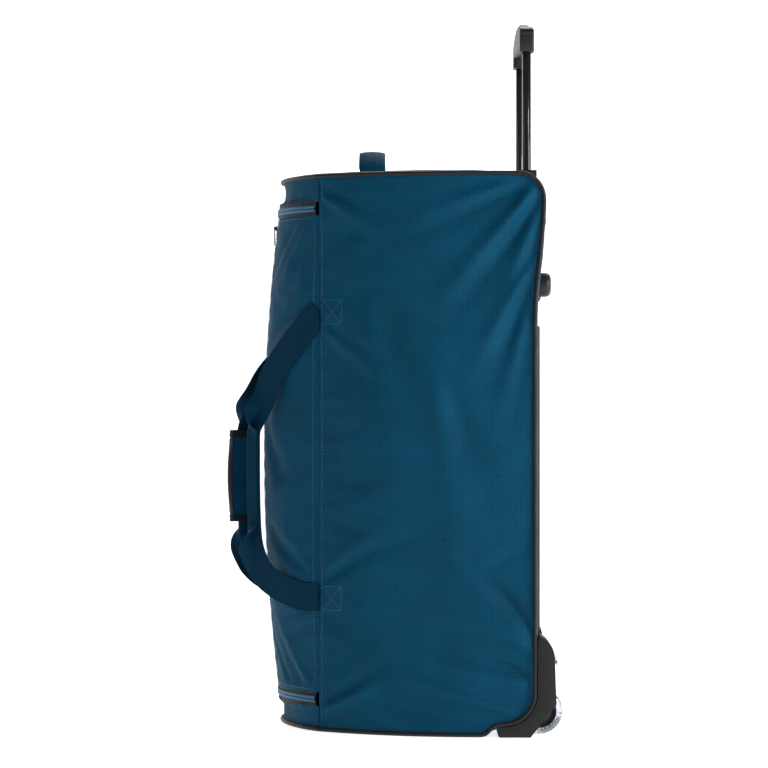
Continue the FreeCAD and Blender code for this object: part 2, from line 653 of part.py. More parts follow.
# ---------------------------------------------------------------- grip and release button
def grip_outline(shrink):
    """Front outline of the arched grip as (X, Z), moved inwards by shrink."""
    half = dim("grip_half") - shrink
    low = dim("grip_end_low") + shrink
    high = dim("grip_end_high") - shrink
    mid_low = dim("grip_mid_low") + shrink
    mid_high = dim("grip_mid_high") - shrink
    knee = 84 + shrink
    corner = 7 - shrink / 2
    slope = 2 * math.atan((mid_high - high) / (half - corner))
    centre = (half - corner, high - corner * math.cos(slope))

    def corner_point(turn, sign):
        return sign * (centre[0] + corner * math.cos(turn)), centre[1] + corner * math.sin(turn)

    end = math.pi / 2 - slope
    return [
        line((-half, low), (-knee, low)),
        line((-knee, low), (-knee + 10, mid_low)),
        line((-knee + 10, mid_low), (knee - 10, mid_low)),
        line((knee - 10, mid_low), (knee, low)),
        line((knee, low), (half, low)),
        line((half, low), corner_point(0, 1)),
        arc(corner_point(0, 1), corner_point(end / 2, 1), corner_point(end, 1)),
        arc(corner_point(end, 1), (0, mid_high), corner_point(end, -1)),
        arc(corner_point(end, -1), corner_point(end / 2, -1), corner_point(0, -1)),
        line(corner_point(0, -1), (-half, low)),
    ]


grip_skin = pad_body("grip_skin", "XZ", grip_outline(0), "-@tube_y - @grip_depth / 2", "@grip_depth")
doc.recompute()
grip_pad = grip_skin.Tip
rim = [f"Edge{i}" for i, edge in enumerate(grip_pad.Shape.Edges, start=1)
       if edge.BoundBox.YLength < 0.01 and edge.BoundBox.ZMax > dim("grip_mid_low") + 5]
softened = grip_skin.newObject("PartDesign::Fillet", "grip_softened")
softened.Base = (grip_pad, rim)
softened.Radius = 3
doc.recompute()
cavity_core = pad_body("grip_cavity", "XZ", grip_outline(3), "-@tube_y - @grip_depth / 2 + 3.5",
                       "@grip_depth - 7")
button_way = box("button_way", "-@button_half - 0.35", "@tube_y - @button_half_depth - 0.35",
                 "@grip_split + 6",
                 "2 * @button_half + 0.7", "2 * @button_half_depth + 0.7", 40)
tube_ways = [
    rod(f"tube_way_{side}", "z", f"{sign} * @tube_x", "@tube_y", "@grip_end_low - 5", "@inner_radius",
        "@inner_high - @grip_end_low + 5")
    for side, sign in SIDES.items()
]
hollow_grip = cut("hollow_grip", grip_skin, [cavity_core, button_way] + tube_ways)
upper_region = box("grip_upper_region", -FAR, 0, "@grip_split", 2 * FAR, FAR, 100)
lower_region = box("grip_lower_region", -FAR, 0, "@grip_split - 100", 2 * FAR, FAR, 100)
keep(common("grip_upper", hollow_grip, upper_region), "grip_upper_shell")
keep(common("grip_lower", hollow_grip, lower_region), "grip_lower_shell")

button_block = box("button_block", "-@button_half", "@tube_y - @button_half_depth",
                   "@yoke_low + @yoke_thick",
                   "2 * @button_half", "2 * @button_half_depth",
                   "@grip_mid_high + @button_rise - @yoke_low - @yoke_thick")
doc.recompute()
button = doc.addObject("Part::Fillet", "button_rounded")
button.Base = button_block
top_z = button_block.Shape.BoundBox.ZMax
button.Edges = [(i, 1.8, 1.8) for i, edge in enumerate(button_block.Shape.Edges, start=1)
                if edge.BoundBox.ZMin > top_z - 0.01]
keep(button, "release_button")
keep(box("yoke", "-@tube_x - 3", "@tube_y - 4", "@yoke_low", "2 * @tube_x + 6", 8, "@yoke_thick"),
     "button_yoke")


def coil_spring(name, radius, wire, length, turns, placement):
    """A helical compression spring standing on its placement."""
    pitch = (length - 2 * wire) / turns
    helix = Part.makeHelix(pitch, length - 2 * wire, radius)
    first = helix.Edges[0]
    start = first.firstVertex().Point
    heading = first.tangentAt(first.FirstParameter)
    section = Part.Wire(Part.Circle(start, heading, wire).toShape())
    solid = Part.Wire(helix.Edges).makePipeShell([section], True, True)
    spring = doc.addObject("Part::Feature", name)
    spring.Shape = solid
    spring.Placement = placement.multiply(FreeCAD.Placement(V(0, 0, wire), FreeCAD.Rotation()))
    return spring


spring_floor = dim("grip_mid_low") + 3.2
keep(coil_spring("spring", 3.2, 0.4, dim("yoke_low") - spring_floor - 0.2, 4,
                 FreeCAD.Placement(V(0, dim("tube_y"), spring_floor), FreeCAD.Rotation())), "button_spring")
for side, sign in SIDES.items():
    seat = V(sign * (dim("tube_x") - 4.4), dim("tube_y"), dim("latch_z"))
    turn = FreeCAD.Rotation(V(0, 1, 0), 90 * sign)
    keep(coil_spring(f"latch_coil_{side}", 1.6, 0.25, 5.2, 5, FreeCAD.Placement(seat, turn)),
         f"latch_spring_{side}")


# ---------------------------------------------------------------- running gear
def guard_outline():
    """Side outline of the corner guard as (Y, Z): an L that wraps the bottom back corner."""
    back = dim("guard_back_y")
    front = dim("guard_front_y")
    top = dim("guard_top")
    foot = dim("guard_foot_high")
    inner_y = dim("back_y") + 0.3
    inner = dim("guard_inner_radius")
    bend_y = inner_y - inner
    bend_z = foot + inner
    half = math.sqrt(0.5)
    return [
        line((front + 4, 0), (186, 0)),
        line((186, 0), (back, 44)),
        line((back, 44), (back - 2, top - 30)),
        arc((back - 2, top - 30), (back - 8, top - 10), (inner_y + 6, top)),
        arc((inner_y + 6, top), (inner_y + 2, top - 1.5), (inner_y, top - 5)),
        line((inner_y, top - 5), (inner_y, bend_z)),
        arc((inner_y, bend_z), (bend_y + inner * half, bend_z - inner * half), (bend_y, foot)),
        line((bend_y, foot), (front + 4, foot)),
        arc((front + 4, foot), (front + 1, foot - 3), (front, foot - 5)),
        line((front, foot - 5), (front, 4)),
        arc((front, 4), (front + 1.2, 1.2), (front + 4, 0)),
    ]


def mirrored_span(sign, low, high):
    """Lowest X of a span that is given on the right-hand side, and on the left its mirror image."""
    return low if sign > 0 else f"-({high})"


housing_span = "@housing_high_x - @housing_low_x"
for side, sign in SIDES.items():
    band = extrude(f"guard_{side}", outline(f"guard_{side}", "YZ", guard_outline()), V(1, 0, 0),
                   mirrored_span(sign, "@housing_low_x", "@housing_high_x"), housing_span)
    well_low = mirrored_span(sign, "@wheel_x - @well_width / 2 - @housing_wall",
                             "@wheel_x + @well_width / 2 + @housing_wall")
    dome = rod(f"dome_{side}", "x", well_low, "@wheel_y", "@wheel_radius", "@well_radius + @housing_wall",
               "@well_width + 2 * @housing_wall")
    slot = rod(f"well_{side}", "x",
               mirrored_span(sign, "@wheel_x - @well_width / 2", "@wheel_x + @well_width / 2"),
               "@wheel_y", "@wheel_radius", "@well_radius", "@well_width")
    corner = extrude(f"corner_{side}",
                     outline(f"corner_{side}", "YZ", polyline([(186, 0), (256, 88), (256, 0)])),
                     V(1, 0, 0), mirrored_span(sign, "@housing_low_x - 5", "@housing_high_x + 5"),
                     f"{housing_span} + 10")
    below = box(f"below_{side}", -FAR, -FAR, -50, 2 * FAR, 2 * FAR, 50)
    behind = box(f"behind_{side}", -FAR, "@guard_back_y + 0.05", -50, 2 * FAR, FAR, FAR)
    axle_hole = rod(f"axle_hole_{side}", "x", mirrored_span(sign, "@housing_low_x - 1", "@wheel_x + 26"),
                    "@wheel_y", "@wheel_radius", "@axle_radius", "@wheel_x + 27 - @housing_low_x")
    screw_holes = [
        rod(f"screw_hole_{side}_{i}", "y", f"{sign} * ({x})", "@back_y - 5", 100, "@screw_radius", 40)
        for i, x in enumerate(("@housing_low_x + 10", "@housing_high_x - 12"))
    ]
    shell = fuse(f"housing_solid_{side}", [band, dome])
    keep(cut(f"housing_{side}", shell, [slot, corner, below, behind, axle_hole] + screw_holes),
         f"wheel_housing_{side}")

    shank = rod(f"axle_shank_{side}", "x", mirrored_span(sign, "@housing_low_x", "@wheel_x + 26"),
                "@wheel_y",
                "@wheel_radius", "@axle_radius", "@wheel_x + 26 - @housing_low_x")
    head = rod(f"axle_head_{side}", "x", mirrored_span(sign, "@housing_low_x - 2", "@housing_low_x"),
               "@wheel_y",
               "@wheel_radius", 6.5, 2)
    keep(fuse(f"axle_{side}_solid", [shank, head]), f"axle_{side}")

    half_width = dim("wheel_width") / 2
    tyre_radius = dim("wheel_radius")
    hub = dim("hub_radius")
    bearing = dim("bearing_radius")
    seat = half_width - dim("bearing_width")
    crown = half_width - 5
    tyre_section = [
        line((-half_width + 2, hub), (half_width - 2, hub)),
        line((half_width - 2, hub), (half_width - 1, hub + 3)),
        arc((half_width - 1, hub + 3), (0, tyre_radius), (1 - half_width, hub + 3)),
        line((1 - half_width, hub + 3), (-half_width + 2, hub)),
    ]
    x, y, z = f"{sign} * @wheel_x", "@wheel_y", "@wheel_radius"
    keep(revolve_body(f"tyre_{side}", tyre_section, x, y, z), f"wheel_tyre_{side}")
    hub_section = polyline([(-half_width, bearing), (-seat, bearing), (-seat, 7.5), (seat, 7.5),
                            (seat, bearing),
                            (half_width, bearing), (half_width, 14), (6, 16), (half_width - 2, hub),
                            (2 - half_width, hub), (-6, 16), (-half_width, 14)])
    keep(revolve_body(f"hub_{side}", hub_section, x, y, z), f"wheel_hub_{side}")
    rings = []
    for end in (-1, 1):
        inner = dim("axle_radius") + 0.04
        ring = polyline([(end * seat, inner), (end * half_width, inner), (end * half_width, bearing),
                         (end * seat, bearing)])
        rings.append(revolve_body(f"ring_{side}_{'a' if end < 0 else 'b'}", ring, x, y, z))
    keep(fuse(f"bearings_{side}", rings), f"wheel_bearings_{side}")

housing_screws = []
for side, sign in SIDES.items():
    for i, x in enumerate(("@housing_low_x + 10", "@housing_high_x - 12")):
        at = f"{sign} * ({x})"
        housing_screws.append(fuse(f"housing_screw_{side}_{i}", [
            rod(f"screw_shank_{side}_{i}", "y", at, "@back_y + 2", 100, "@screw_radius", 24),
            rod(f"screw_head_{side}_{i}", "y", at, "@guard_back_y", 100, 3.6, 1.8),
        ]))
keep(fuse("housing_screw_set", housing_screws), "housing_screws")

# ---------------------------------------------------------------- skid rails and back feet
for side, sign in SIDES.items():
    rail = box(f"rail_block_{side}", f"{sign} * @rail_x - @rail_width / 2", "@back_y", "@rail_low",
               "@rail_width",
               "@rail_thick", "@rail_high - @rail_low")
    doc.recompute()
    rail_round = doc.addObject("Part::Fillet", f"rail_round_{side}")
    rail_round.Base = rail
    face_y = rail.Shape.BoundBox.YMax
    rail_round.Edges = [(i, 3, 3) for i, edge in enumerate(rail.Shape.Edges, start=1)
                        if edge.BoundBox.YMin > face_y - 0.01]
    keep(rail_round, f"skid_rail_{side}")

foot_solids = []
foot_screws = []
for side, sign in SIDES.items():
    x = f"{sign} * @rail_x"
    blank = rod(f"puck_blank_{side}", "y", x, "@back_y - 2", "@foot_z", "@foot_radius",
                "@foot_face_y - @back_y + 2")
    doc.recompute()
    puck = doc.addObject("Part::Fillet", f"puck_{side}")
    puck.Base = blank
    puck.Edges = [(i, 7, 7) for i, edge in enumerate(blank.Shape.Edges, start=1)
                  if edge.BoundBox.YMin > dim("foot_face_y") - 0.01]
    recess = rod(f"recess_{side}", "y", x, "@foot_face_y - 5", "@foot_z", 5, 20)
    way = rod(f"way_{side}", "y", x, "@back_y - 10", "@foot_z", "@screw_radius", 40)
    foot_solids.append(cut(f"foot_{side}", puck, [outer_side, recess, way]))
    foot_screws.append(fuse(f"foot_screw_{side}", [
        rod(f"foot_shank_{side}", "y", x, "@back_y - 10", "@foot_z", "@screw_radius",
            "@foot_face_y - @back_y + 5"),
        rod(f"foot_head_{side}", "y", x, "@foot_face_y - 5", "@foot_z", 4.2, 2.4),
    ]))
keep(fuse("feet", foot_solids), "back_feet")
keep(fuse("foot_screw_set", foot_screws), "foot_screws")

# ---------------------------------------------------------------- check and write
doc.recompute()
faults = [obj.Name for obj in doc.Objects if "Invalid" in obj.State or "Error" in obj.State]
for node, obj in finished.items():
    shape = obj.Shape
    if shape.isNull() or not shape.isValid() or shape.Volume <= 0:
        faults.append(node)
if faults:
    raise SystemExit(f"not built: {faults}")
os.makedirs("parts", exist_ok=True)
for node, obj in finished.items():
    obj.Shape.exportStep(f"parts/{node}.step")
print(len(finished), "sub-parts")
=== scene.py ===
"""Wheeled duffel bag standing on its end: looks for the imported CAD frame, in metres.

Sections follow the bag as it is put together: studio, sewn shell, piping, front flaps, zips, handles,
trolley, wheels and back protection.
"""
import math

import bpy
from mathutils import Matrix, Vector, noise


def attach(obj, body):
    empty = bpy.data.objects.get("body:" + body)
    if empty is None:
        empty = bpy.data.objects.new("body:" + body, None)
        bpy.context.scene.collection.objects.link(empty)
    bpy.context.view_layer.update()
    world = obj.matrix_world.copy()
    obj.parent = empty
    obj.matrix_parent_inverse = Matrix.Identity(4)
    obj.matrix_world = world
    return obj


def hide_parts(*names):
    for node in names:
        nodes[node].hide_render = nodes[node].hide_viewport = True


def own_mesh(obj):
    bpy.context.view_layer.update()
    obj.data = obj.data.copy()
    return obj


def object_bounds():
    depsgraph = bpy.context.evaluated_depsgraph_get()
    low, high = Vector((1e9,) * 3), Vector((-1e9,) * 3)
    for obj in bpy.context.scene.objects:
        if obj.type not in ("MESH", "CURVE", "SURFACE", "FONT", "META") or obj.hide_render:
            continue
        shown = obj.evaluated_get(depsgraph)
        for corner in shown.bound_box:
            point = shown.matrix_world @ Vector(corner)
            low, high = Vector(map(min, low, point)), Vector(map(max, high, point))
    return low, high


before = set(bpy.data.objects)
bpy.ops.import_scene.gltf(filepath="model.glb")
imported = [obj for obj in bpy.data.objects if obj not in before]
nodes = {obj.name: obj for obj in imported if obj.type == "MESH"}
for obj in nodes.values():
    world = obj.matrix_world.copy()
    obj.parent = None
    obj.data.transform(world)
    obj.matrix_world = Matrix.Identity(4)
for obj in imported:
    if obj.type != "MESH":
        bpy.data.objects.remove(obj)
cad_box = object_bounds()


# ---------------------------------------------------------------- studio
# A white seamless paper sweep under four soft boxes, with the camera square to the right-hand side panel.
# The paper is matt and slightly glossy near the floor, so the bag leaves a faint contact shadow.
def colour(code):
    """An sRGB hex code as linear red, green, blue and alpha."""
    channels = [int(code[i:i + 2], 16) / 255 for i in (1, 3, 5)]
    return (*[c / 12.92 if c <= 0.04045 else ((c + 0.055) / 1.055) ** 2.4 for c in channels], 1.0)


def add(tree, kind, inputs=None, **settings):
    """A shader node with its settings; an input is a plain value or another node's output."""
    node = tree.nodes.new("ShaderNode" + kind)
    for name, value in settings.items():
        setattr(node, name, value)
    for key, value in (inputs or {}).items():
        if isinstance(value, bpy.types.NodeSocket):
            tree.links.new(value, node.inputs[key])
        else:
            node.inputs[key].default_value = value
    return node


def finish_of(name, **values):
    """A new material with its shader's own values set: (material, tree, shader)."""
    material = bpy.data.materials.new(name)
    material.use_nodes = True
    shader = material.node_tree.nodes["Principled BSDF"]
    for key, value in values.items():
        shader.inputs[key.replace("_", " ")].default_value = value
    return material, material.node_tree, shader


def two_tone(tree, shader, share, low, high):
    """Base colour that wanders between two hex codes by a node's output."""
    shade = add(tree, "Mix", {0: share, 6: colour(low), 7: colour(high)}, data_type="RGBA")
    tree.links.new(shade.outputs[2], shader.inputs["Base Color"])


def relief(tree, shader, height, strength, distance):
    """Fine relief on a material, from a node's output."""
    bump = add(tree, "Bump", {"Height": height, "Strength": strength, "Distance": distance})
    tree.links.new(bump.outputs["Normal"], shader.inputs["Normal"])


def select_only(piece):
    bpy.ops.object.select_all(action="DESELECT")
    piece.select_set(True)
    bpy.context.view_layer.objects.active = piece


def apply_modifiers(piece):
    select_only(piece)
    for modifier in list(piece.modifiers):
        bpy.ops.object.modifier_apply(modifier=modifier.name)


FLOOR_HALF = 9.0
FLOOR_RUN = 16
FLOOR_WIDE = 20
SWEEP_BACK = -2.6
SWEEP_RADIUS = 1.2
bpy.ops.object.select_all(action="DESELECT")
bpy.ops.mesh.primitive_grid_add(x_subdivisions=120, y_subdivisions=1, size=1)
floor = bpy.context.object
floor.name = "paper_sweep"
for corner in floor.data.vertices:
    reach = FLOOR_HALF - (corner.co.x + 0.5) * FLOOR_RUN
    turn = min(max((SWEEP_BACK - reach) / SWEEP_RADIUS, 0), math.pi / 2)
    rise = max(SWEEP_BACK - reach - SWEEP_RADIUS * math.pi / 2, 0)
    x = max(reach, SWEEP_BACK) - SWEEP_RADIUS * math.sin(turn)
    corner.co = (x, corner.co.y * FLOOR_WIDE, SWEEP_RADIUS * (1 - math.cos(turn)) + rise)
bpy.ops.object.shade_smooth()
paper, tree, shader = finish_of("seamless_paper", Base_Color=colour("#FBFBFB"), Roughness=0.55,
                                Emission_Color=colour("#FFFFFF"), Emission_Strength=0.80)
grain = add(tree, "TexNoise", {"Scale": 900.0, "Detail": 2.0})
tree.links.new(add(tree, "Bump", {"Strength": 0.02, "Height": grain.outputs["Fac"]}).outputs["Normal"],
               shader.inputs["Normal"])
floor.data.materials.append(paper)

world = bpy.data.worlds.new("studio")
bpy.context.scene.world = world
world.use_nodes = True
world.node_tree.nodes["Background"].inputs["Color"].default_value = (1, 1, 1, 1)
world.node_tree.nodes["Background"].inputs["Strength"].default_value = 0.12
bpy.context.scene.view_settings.view_transform = "Standard"

SOFT_BOXES = [("key", (1.3, 2.1, 1.1), 0.8, 44), ("fill", (2.6, -2.4, 1.3), 2.0, 4),
              ("back", (-1.9, 0.6, 2.6), 1.6, 22), ("front", (0.3, -3.0, 1.6), 1.6, 6)]
for name, at, size, power in SOFT_BOXES:
    light = bpy.data.lights.new(name, "AREA")
    light.size = size
    light.energy = power
    lamp = bpy.data.objects.new(name, light)
    lamp.location = at
    lamp.rotation_euler = (Vector((0, 0, 0.4)) - Vector(at)).to_track_quat("-Z", "Y").to_euler()
    bpy.context.scene.collection.objects.link(lamp)

camera = bpy.data.objects.new("camera", bpy.data.cameras.new("camera"))
bpy.context.scene.collection.objects.link(camera)
camera.location = (3.8, 0.0105, 0.4755)
camera.rotation_euler = (math.pi / 2, 0, math.pi / 2)
camera.data.sensor_width = 36
camera.data.lens = 125.8
camera.data.shift_x = -16 / 768
bpy.context.scene.camera = camera


# ---------------------------------------------------------------- side panels
# Each side is one piece of teal dobby-weave polyester, coated on the back, cut to the bag's side outline and
# sewn to the piping all round and to the front at an upright seam. It is pulled into folds at its corners.
BAG_HIGH = 0.763
PIPING_INSET = 0.0034
BACK_HALF = 0.190
SIDE_STRAIGHT_Y = 0.120
SEAM_X = 0.128
SEAM_Y = -0.101
SIDE_RADIUS = 0.42488
SEAM_TURN = math.asin((SIDE_STRAIGHT_Y - SEAM_Y) / SIDE_RADIUS)
ARC_LENGTH = SIDE_RADIUS * SEAM_TURN
CLOTH_THICK = 0.0012
LOW_BACK_Y = 0.1955
TOP_BULGE = 0.0125
CORNER_RADIUS = 0.038
CORNER_Y = 0.170
CORNER_Z = 0.725
GUARD_RADIUS = 0.045
GUARD_FOOT_HIGH = 0.0145
BEND_Y = 0.1505
BEND_Z = 0.0595
WEAVE_PITCH = 0.0032    # the real squares are about 2.7 mm; drawn a little coarser so that they show


def woven_sheet(name, columns, rows, place):
    """A grid whose point (c, r), each 0 to 1, goes where place says: a point and its u, v on the cloth in
    metres."""
    bpy.ops.object.select_all(action="DESELECT")
    bpy.ops.mesh.primitive_grid_add(x_subdivisions=columns, y_subdivisions=rows, size=1)
    piece = bpy.context.object
    piece.name = name
    on_cloth = []
    for corner in piece.data.vertices:
        point, u, v = place(corner.co.x + 0.5, corner.co.y + 0.5)
        on_cloth.append((u, v))
        corner.co = point
    layer = piece.data.uv_layers.active.data
    for loop in piece.data.loops:
        layer[loop.index].uv = on_cloth[loop.vertex_index]
    return piece


def face_out(piece, inside):
    """Turn a sheet's faces so that they point away from a point inside it."""
    away = sum((side.center - inside).dot(side.normal) * side.area for side in piece.data.polygons)
    if away < 0:
        piece.data.flip_normals()


def settle(pieces, grow, cap, frames=24):
    """Let sheets that are cut slightly large buckle between their sewn edges, each point by less than
    cap."""
    starts = {}
    for piece in pieces:
        mesh = piece.data
        starts[piece.name] = [corner.co.copy() for corner in mesh.vertices]
        uses = {}
        for side in mesh.polygons:
            for key in side.edge_keys:
                uses[key] = uses.get(key, 0) + 1
        border = sorted({i for key, count in uses.items() if count == 1 for i in key})
        sewn = piece.vertex_groups.new(name="sewn")
        sewn.add(border, 1.0, "REPLACE")
        cloth = piece.modifiers.new("Cloth", "CLOTH")
        cloth.settings.vertex_group_mass = "sewn"
        cloth.settings.quality = 6
        cloth.settings.mass = 0.25
        cloth.settings.tension_stiffness = 25
        cloth.settings.compression_stiffness = 25
        cloth.settings.shear_stiffness = 6
        cloth.settings.bending_stiffness = 2.0
        cloth.settings.shrink_min = -grow
        cloth.settings.effector_weights.gravity = 0
        cloth.settings.use_pressure = True
        cloth.settings.uniform_pressure_force = 0.6
        cloth.collision_settings.use_collision = False
        cloth.point_cache.frame_end = frames
    for number in range(1, frames + 1):
        bpy.context.scene.frame_set(number)
    for piece in pieces:
        apply_modifiers(piece)
        for corner, start in zip(piece.data.vertices, starts[piece.name]):
            move = corner.co - start
            corner.co = start + move * (cap / (cap + move.length))
    bpy.context.scene.frame_set(1)


def thicken(piece, thick, offset=-1.0, levels=1):
    """Smooth a sheet and give it its thickness, inwards from its face unless offset says otherwise."""
    if levels:
        smooth = piece.modifiers.new("Subdivision", "SUBSURF")
        smooth.levels = levels
        smooth.render_levels = levels
    wall = piece.modifiers.new("Solidify", "SOLIDIFY")
    wall.thickness = thick
    wall.offset = offset
    apply_modifiers(piece)
    bpy.ops.object.shade_smooth_by_angle(angle=math.radians(50))


def woven_cloth(name, dark, body, light, pitch, rough, sheen, ribs=0.55):
    """Woven polyester: squares of body colour between lighter float threads, mottled, with a soft bloom."""
    material, tree, shader = finish_of(name, Roughness=rough, Sheen_Weight=sheen, Sheen_Roughness=0.35,
                                       Specular_IOR_Level=0.10, Sheen_Tint=colour("#A8D0E0"))
    place = add(tree, "TexCoord").outputs["UV"]
    scale = math.pi / 10 / pitch
    across = add(tree, "TexWave", {"Vector": place, "Scale": scale}, bands_direction="X")
    along = add(tree, "TexWave", {"Vector": place, "Scale": scale}, bands_direction="Y")
    threads = add(tree, "Math", {0: across.outputs["Fac"], 1: along.outputs["Fac"]}, operation="MAXIMUM")
    steep = add(tree, "MapRange", {"Value": threads.outputs[0], "From Min": ribs, "From Max": 0.97},
                interpolation_type="SMOOTHSTEP")
    cloud = add(tree, "TexNoise", {"Vector": place, "Scale": 14.0, "Detail": 5.0, "Roughness": 0.6})
    fleck = add(tree, "TexNoise", {"Vector": place, "Scale": 420.0, "Detail": 2.0})
    mottle = add(tree, "MapRange", {"Value": cloud.outputs["Fac"], "From Min": 0.3, "From Max": 0.7})
    base = add(tree, "Mix", {0: mottle.outputs[0], 6: colour(dark), 7: colour(body)}, data_type="RGBA")
    float_share = add(tree, "Math", {0: steep.outputs[0], 1: fleck.outputs["Fac"]}, operation="MULTIPLY")
    face = add(tree, "Mix", {0: float_share.outputs[0], 6: base.outputs[2], 7: colour(light)},
               data_type="RGBA")
    tree.links.new(face.outputs[2], shader.inputs["Base Color"])
    weave = add(tree, "Bump", {"Height": steep.outputs[0], "Strength": 0.35, "Distance": 0.00025})
    crumple = add(tree, "TexNoise", {"Vector": place, "Scale": 55.0, "Detail": 3.0})
    soft = add(tree, "Bump", {"Height": crumple.outputs["Fac"], "Strength": 0.25, "Distance": 0.0016,
                              "Normal": weave.outputs["Normal"]})
    tree.links.new(soft.outputs["Normal"], shader.inputs["Normal"])
    return material


def back_edge(z):
    """How far back the side panel reaches at a height: round the wheel guard, up the back, round the top."""
    if z < GUARD_FOOT_HIGH:
        return 0.126 + 0.015 * z / GUARD_FOOT_HIGH
    if z < BEND_Z:
        return BEND_Y + math.sqrt(GUARD_RADIUS ** 2 - (BEND_Z - z) ** 2)
    if z < 0.560:
        return LOW_BACK_Y
    if z < CORNER_Z:
        t = (z - 0.560) / 0.165
        return LOW_BACK_Y + TOP_BULGE * t * t * (3 - 2 * t)
    return CORNER_Y + math.sqrt(max(CORNER_RADIUS ** 2 - (z - CORNER_Z) ** 2, 0))


def side_point(s):
    """Point and outward direction on the side's plan line, s metres back from the front seam."""
    if s > ARC_LENGTH:
        return Vector((BACK_HALF, SIDE_STRAIGHT_Y + s - ARC_LENGTH, 0)), Vector((1, 0, 0))
    turn = SEAM_TURN - s / SIDE_RADIUS
    out = Vector((math.cos(turn), -math.sin(turn), 0))
    return Vector((BACK_HALF - SIDE_RADIUS, SIDE_STRAIGHT_Y, 0)) + out * SIDE_RADIUS, out


def fold_height(at, folds):
    """Height of pressed folds at (y, z). Each starts where the cloth is pulled and fades towards its far
    end."""
    height = 0.0
    for y0, z0, y1, z1, width, depth in folds:
        run = Vector((y1 - y0, z1 - z0))
        offset = at - Vector((y0, z0))
        t = offset.dot(run) / run.length_squared
        if -0.1 < t < 1:
            aside = (run.x * offset.y - run.y * offset.x) / run.length
            fade = (1 - t) * min(1, (t + 0.1) * 6)
            spread = width * (0.6 + 0.9 * max(t, 0))
            height += depth * fade * (math.exp(-(aside / spread) ** 2)
                                      - 0.7 * math.exp(-((aside - 1.7 * spread) / spread) ** 2))
    return height


def held(distance, reach):
    """0 on a sewn edge, rising smoothly to 1 at reach from it."""
    t = min(max(distance / reach, 0), 1)
    return t * t * (3 - 2 * t)


SIDE_FOLDS = [   # start y, z, end y, z, half width, height
    (0.196, 0.742, 0.040, 0.560, 0.012, 0.0050), (0.200, 0.715, 0.120, 0.520, 0.010, 0.0034),
    (0.172, 0.752, 0.010, 0.690, 0.009, 0.0026), (0.190, 0.640, 0.095, 0.470, 0.011, 0.0046),
    (0.192, 0.610, 0.130, 0.390, 0.009, 0.0026), (0.196, 0.140, 0.080, 0.262, 0.011, -0.0046),
    (0.194, 0.118, 0.040, 0.190, 0.010, 0.0040), (0.190, 0.080, 0.030, 0.135, 0.010, -0.0040),
    (0.160, 0.034, -0.010, 0.088, 0.008, 0.0036), (0.120, 0.012, -0.030, 0.050, 0.007, -0.0030),
    (-0.095, 0.030, 0.010, 0.085, 0.008, 0.0032), (-0.098, 0.735, 0.000, 0.670, 0.008, 0.0030),
    (-0.098, 0.555, -0.010, 0.480, 0.007, 0.0018), (-0.098, 0.205, 0.000, 0.270, 0.008, -0.0024),
    (0.060, 0.460, 0.110, 0.150, 0.022, 0.0022), (-0.030, 0.560, 0.020, 0.180, 0.026, 0.0020),
]


def side_place(sign):
    """Where each point of a side panel goes, with its folds and the pinch along its seams."""
    def place(c, r):
        z = PIPING_INSET + r * (BAG_HIGH - 2 * PIPING_INSET)
        reach = ARC_LENGTH + back_edge(z) - PIPING_INSET - SIDE_STRAIGHT_Y
        s = c * reach
        point, out = side_point(s)
        edge = min(reach - s, z - PIPING_INSET, BAG_HIGH - PIPING_INSET - z)
        free = held(edge, 0.030) * held(s, 0.024)
        seat = Vector((s * 9, z * 6, sign * 3))
        crumple = noise.noise(seat) * 0.0020 + noise.noise(seat * 3.1) * 0.0008
        swell = 0.0035 * math.sin(math.pi * c) * math.sin(math.pi * r)
        hollow = 0.0090 * math.exp(-((point.y - 0.035) / 0.075) ** 2 - ((z - 0.160) / 0.110) ** 2)
        folds = 2.4 * fold_height(Vector((point.y, z)), SIDE_FOLDS)
        lift = free * (swell + crumple + folds - hollow)
        pucker = noise.noise(Vector((z * 42, 0, sign))) * 0.0009 * (1 - held(s, 0.022))
        lift += 0.0016 * (1 - held(edge, 0.012)) - 0.0016 * (1 - held(s, 0.005)) + pucker * held(s, 0.004)
        point = point + out * lift
        return Vector((point.x * sign, point.y, z)), s, z
    return place


shell_cloth = woven_cloth("dobby_polyester", "#002F45", "#003D5A", "#045A78", WEAVE_PITCH, 0.68, 0.03)
INSIDE = Vector((0, 0.05, 0.38))
side_cloths = {}
for side, sign in (("right", 1), ("left", -1)):
    side_cloths[side] = woven_sheet(f"side_cloth_{side}", 62, 132, side_place(sign))
settle(list(side_cloths.values()), 0.010, 0.0030)
for side, piece in side_cloths.items():
    face_out(piece, INSIDE)
    thicken(piece, CLOTH_THICK)
    piece.data.materials.append(shell_cloth)
    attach(piece, "bag")
    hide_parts(f"side_panel_{side}")


# ---------------------------------------------------------------- end panels and back
# The gusset: three lengths of the same cloth run over the top, down the back and under the bottom between
# the two lines of piping. The top is soft and crowned, the back lies flat over its board.
STRIP_SAG = 0.052
STRIP_RADIUS = (SEAM_X ** 2 + STRIP_SAG ** 2) / (2 * STRIP_SAG)


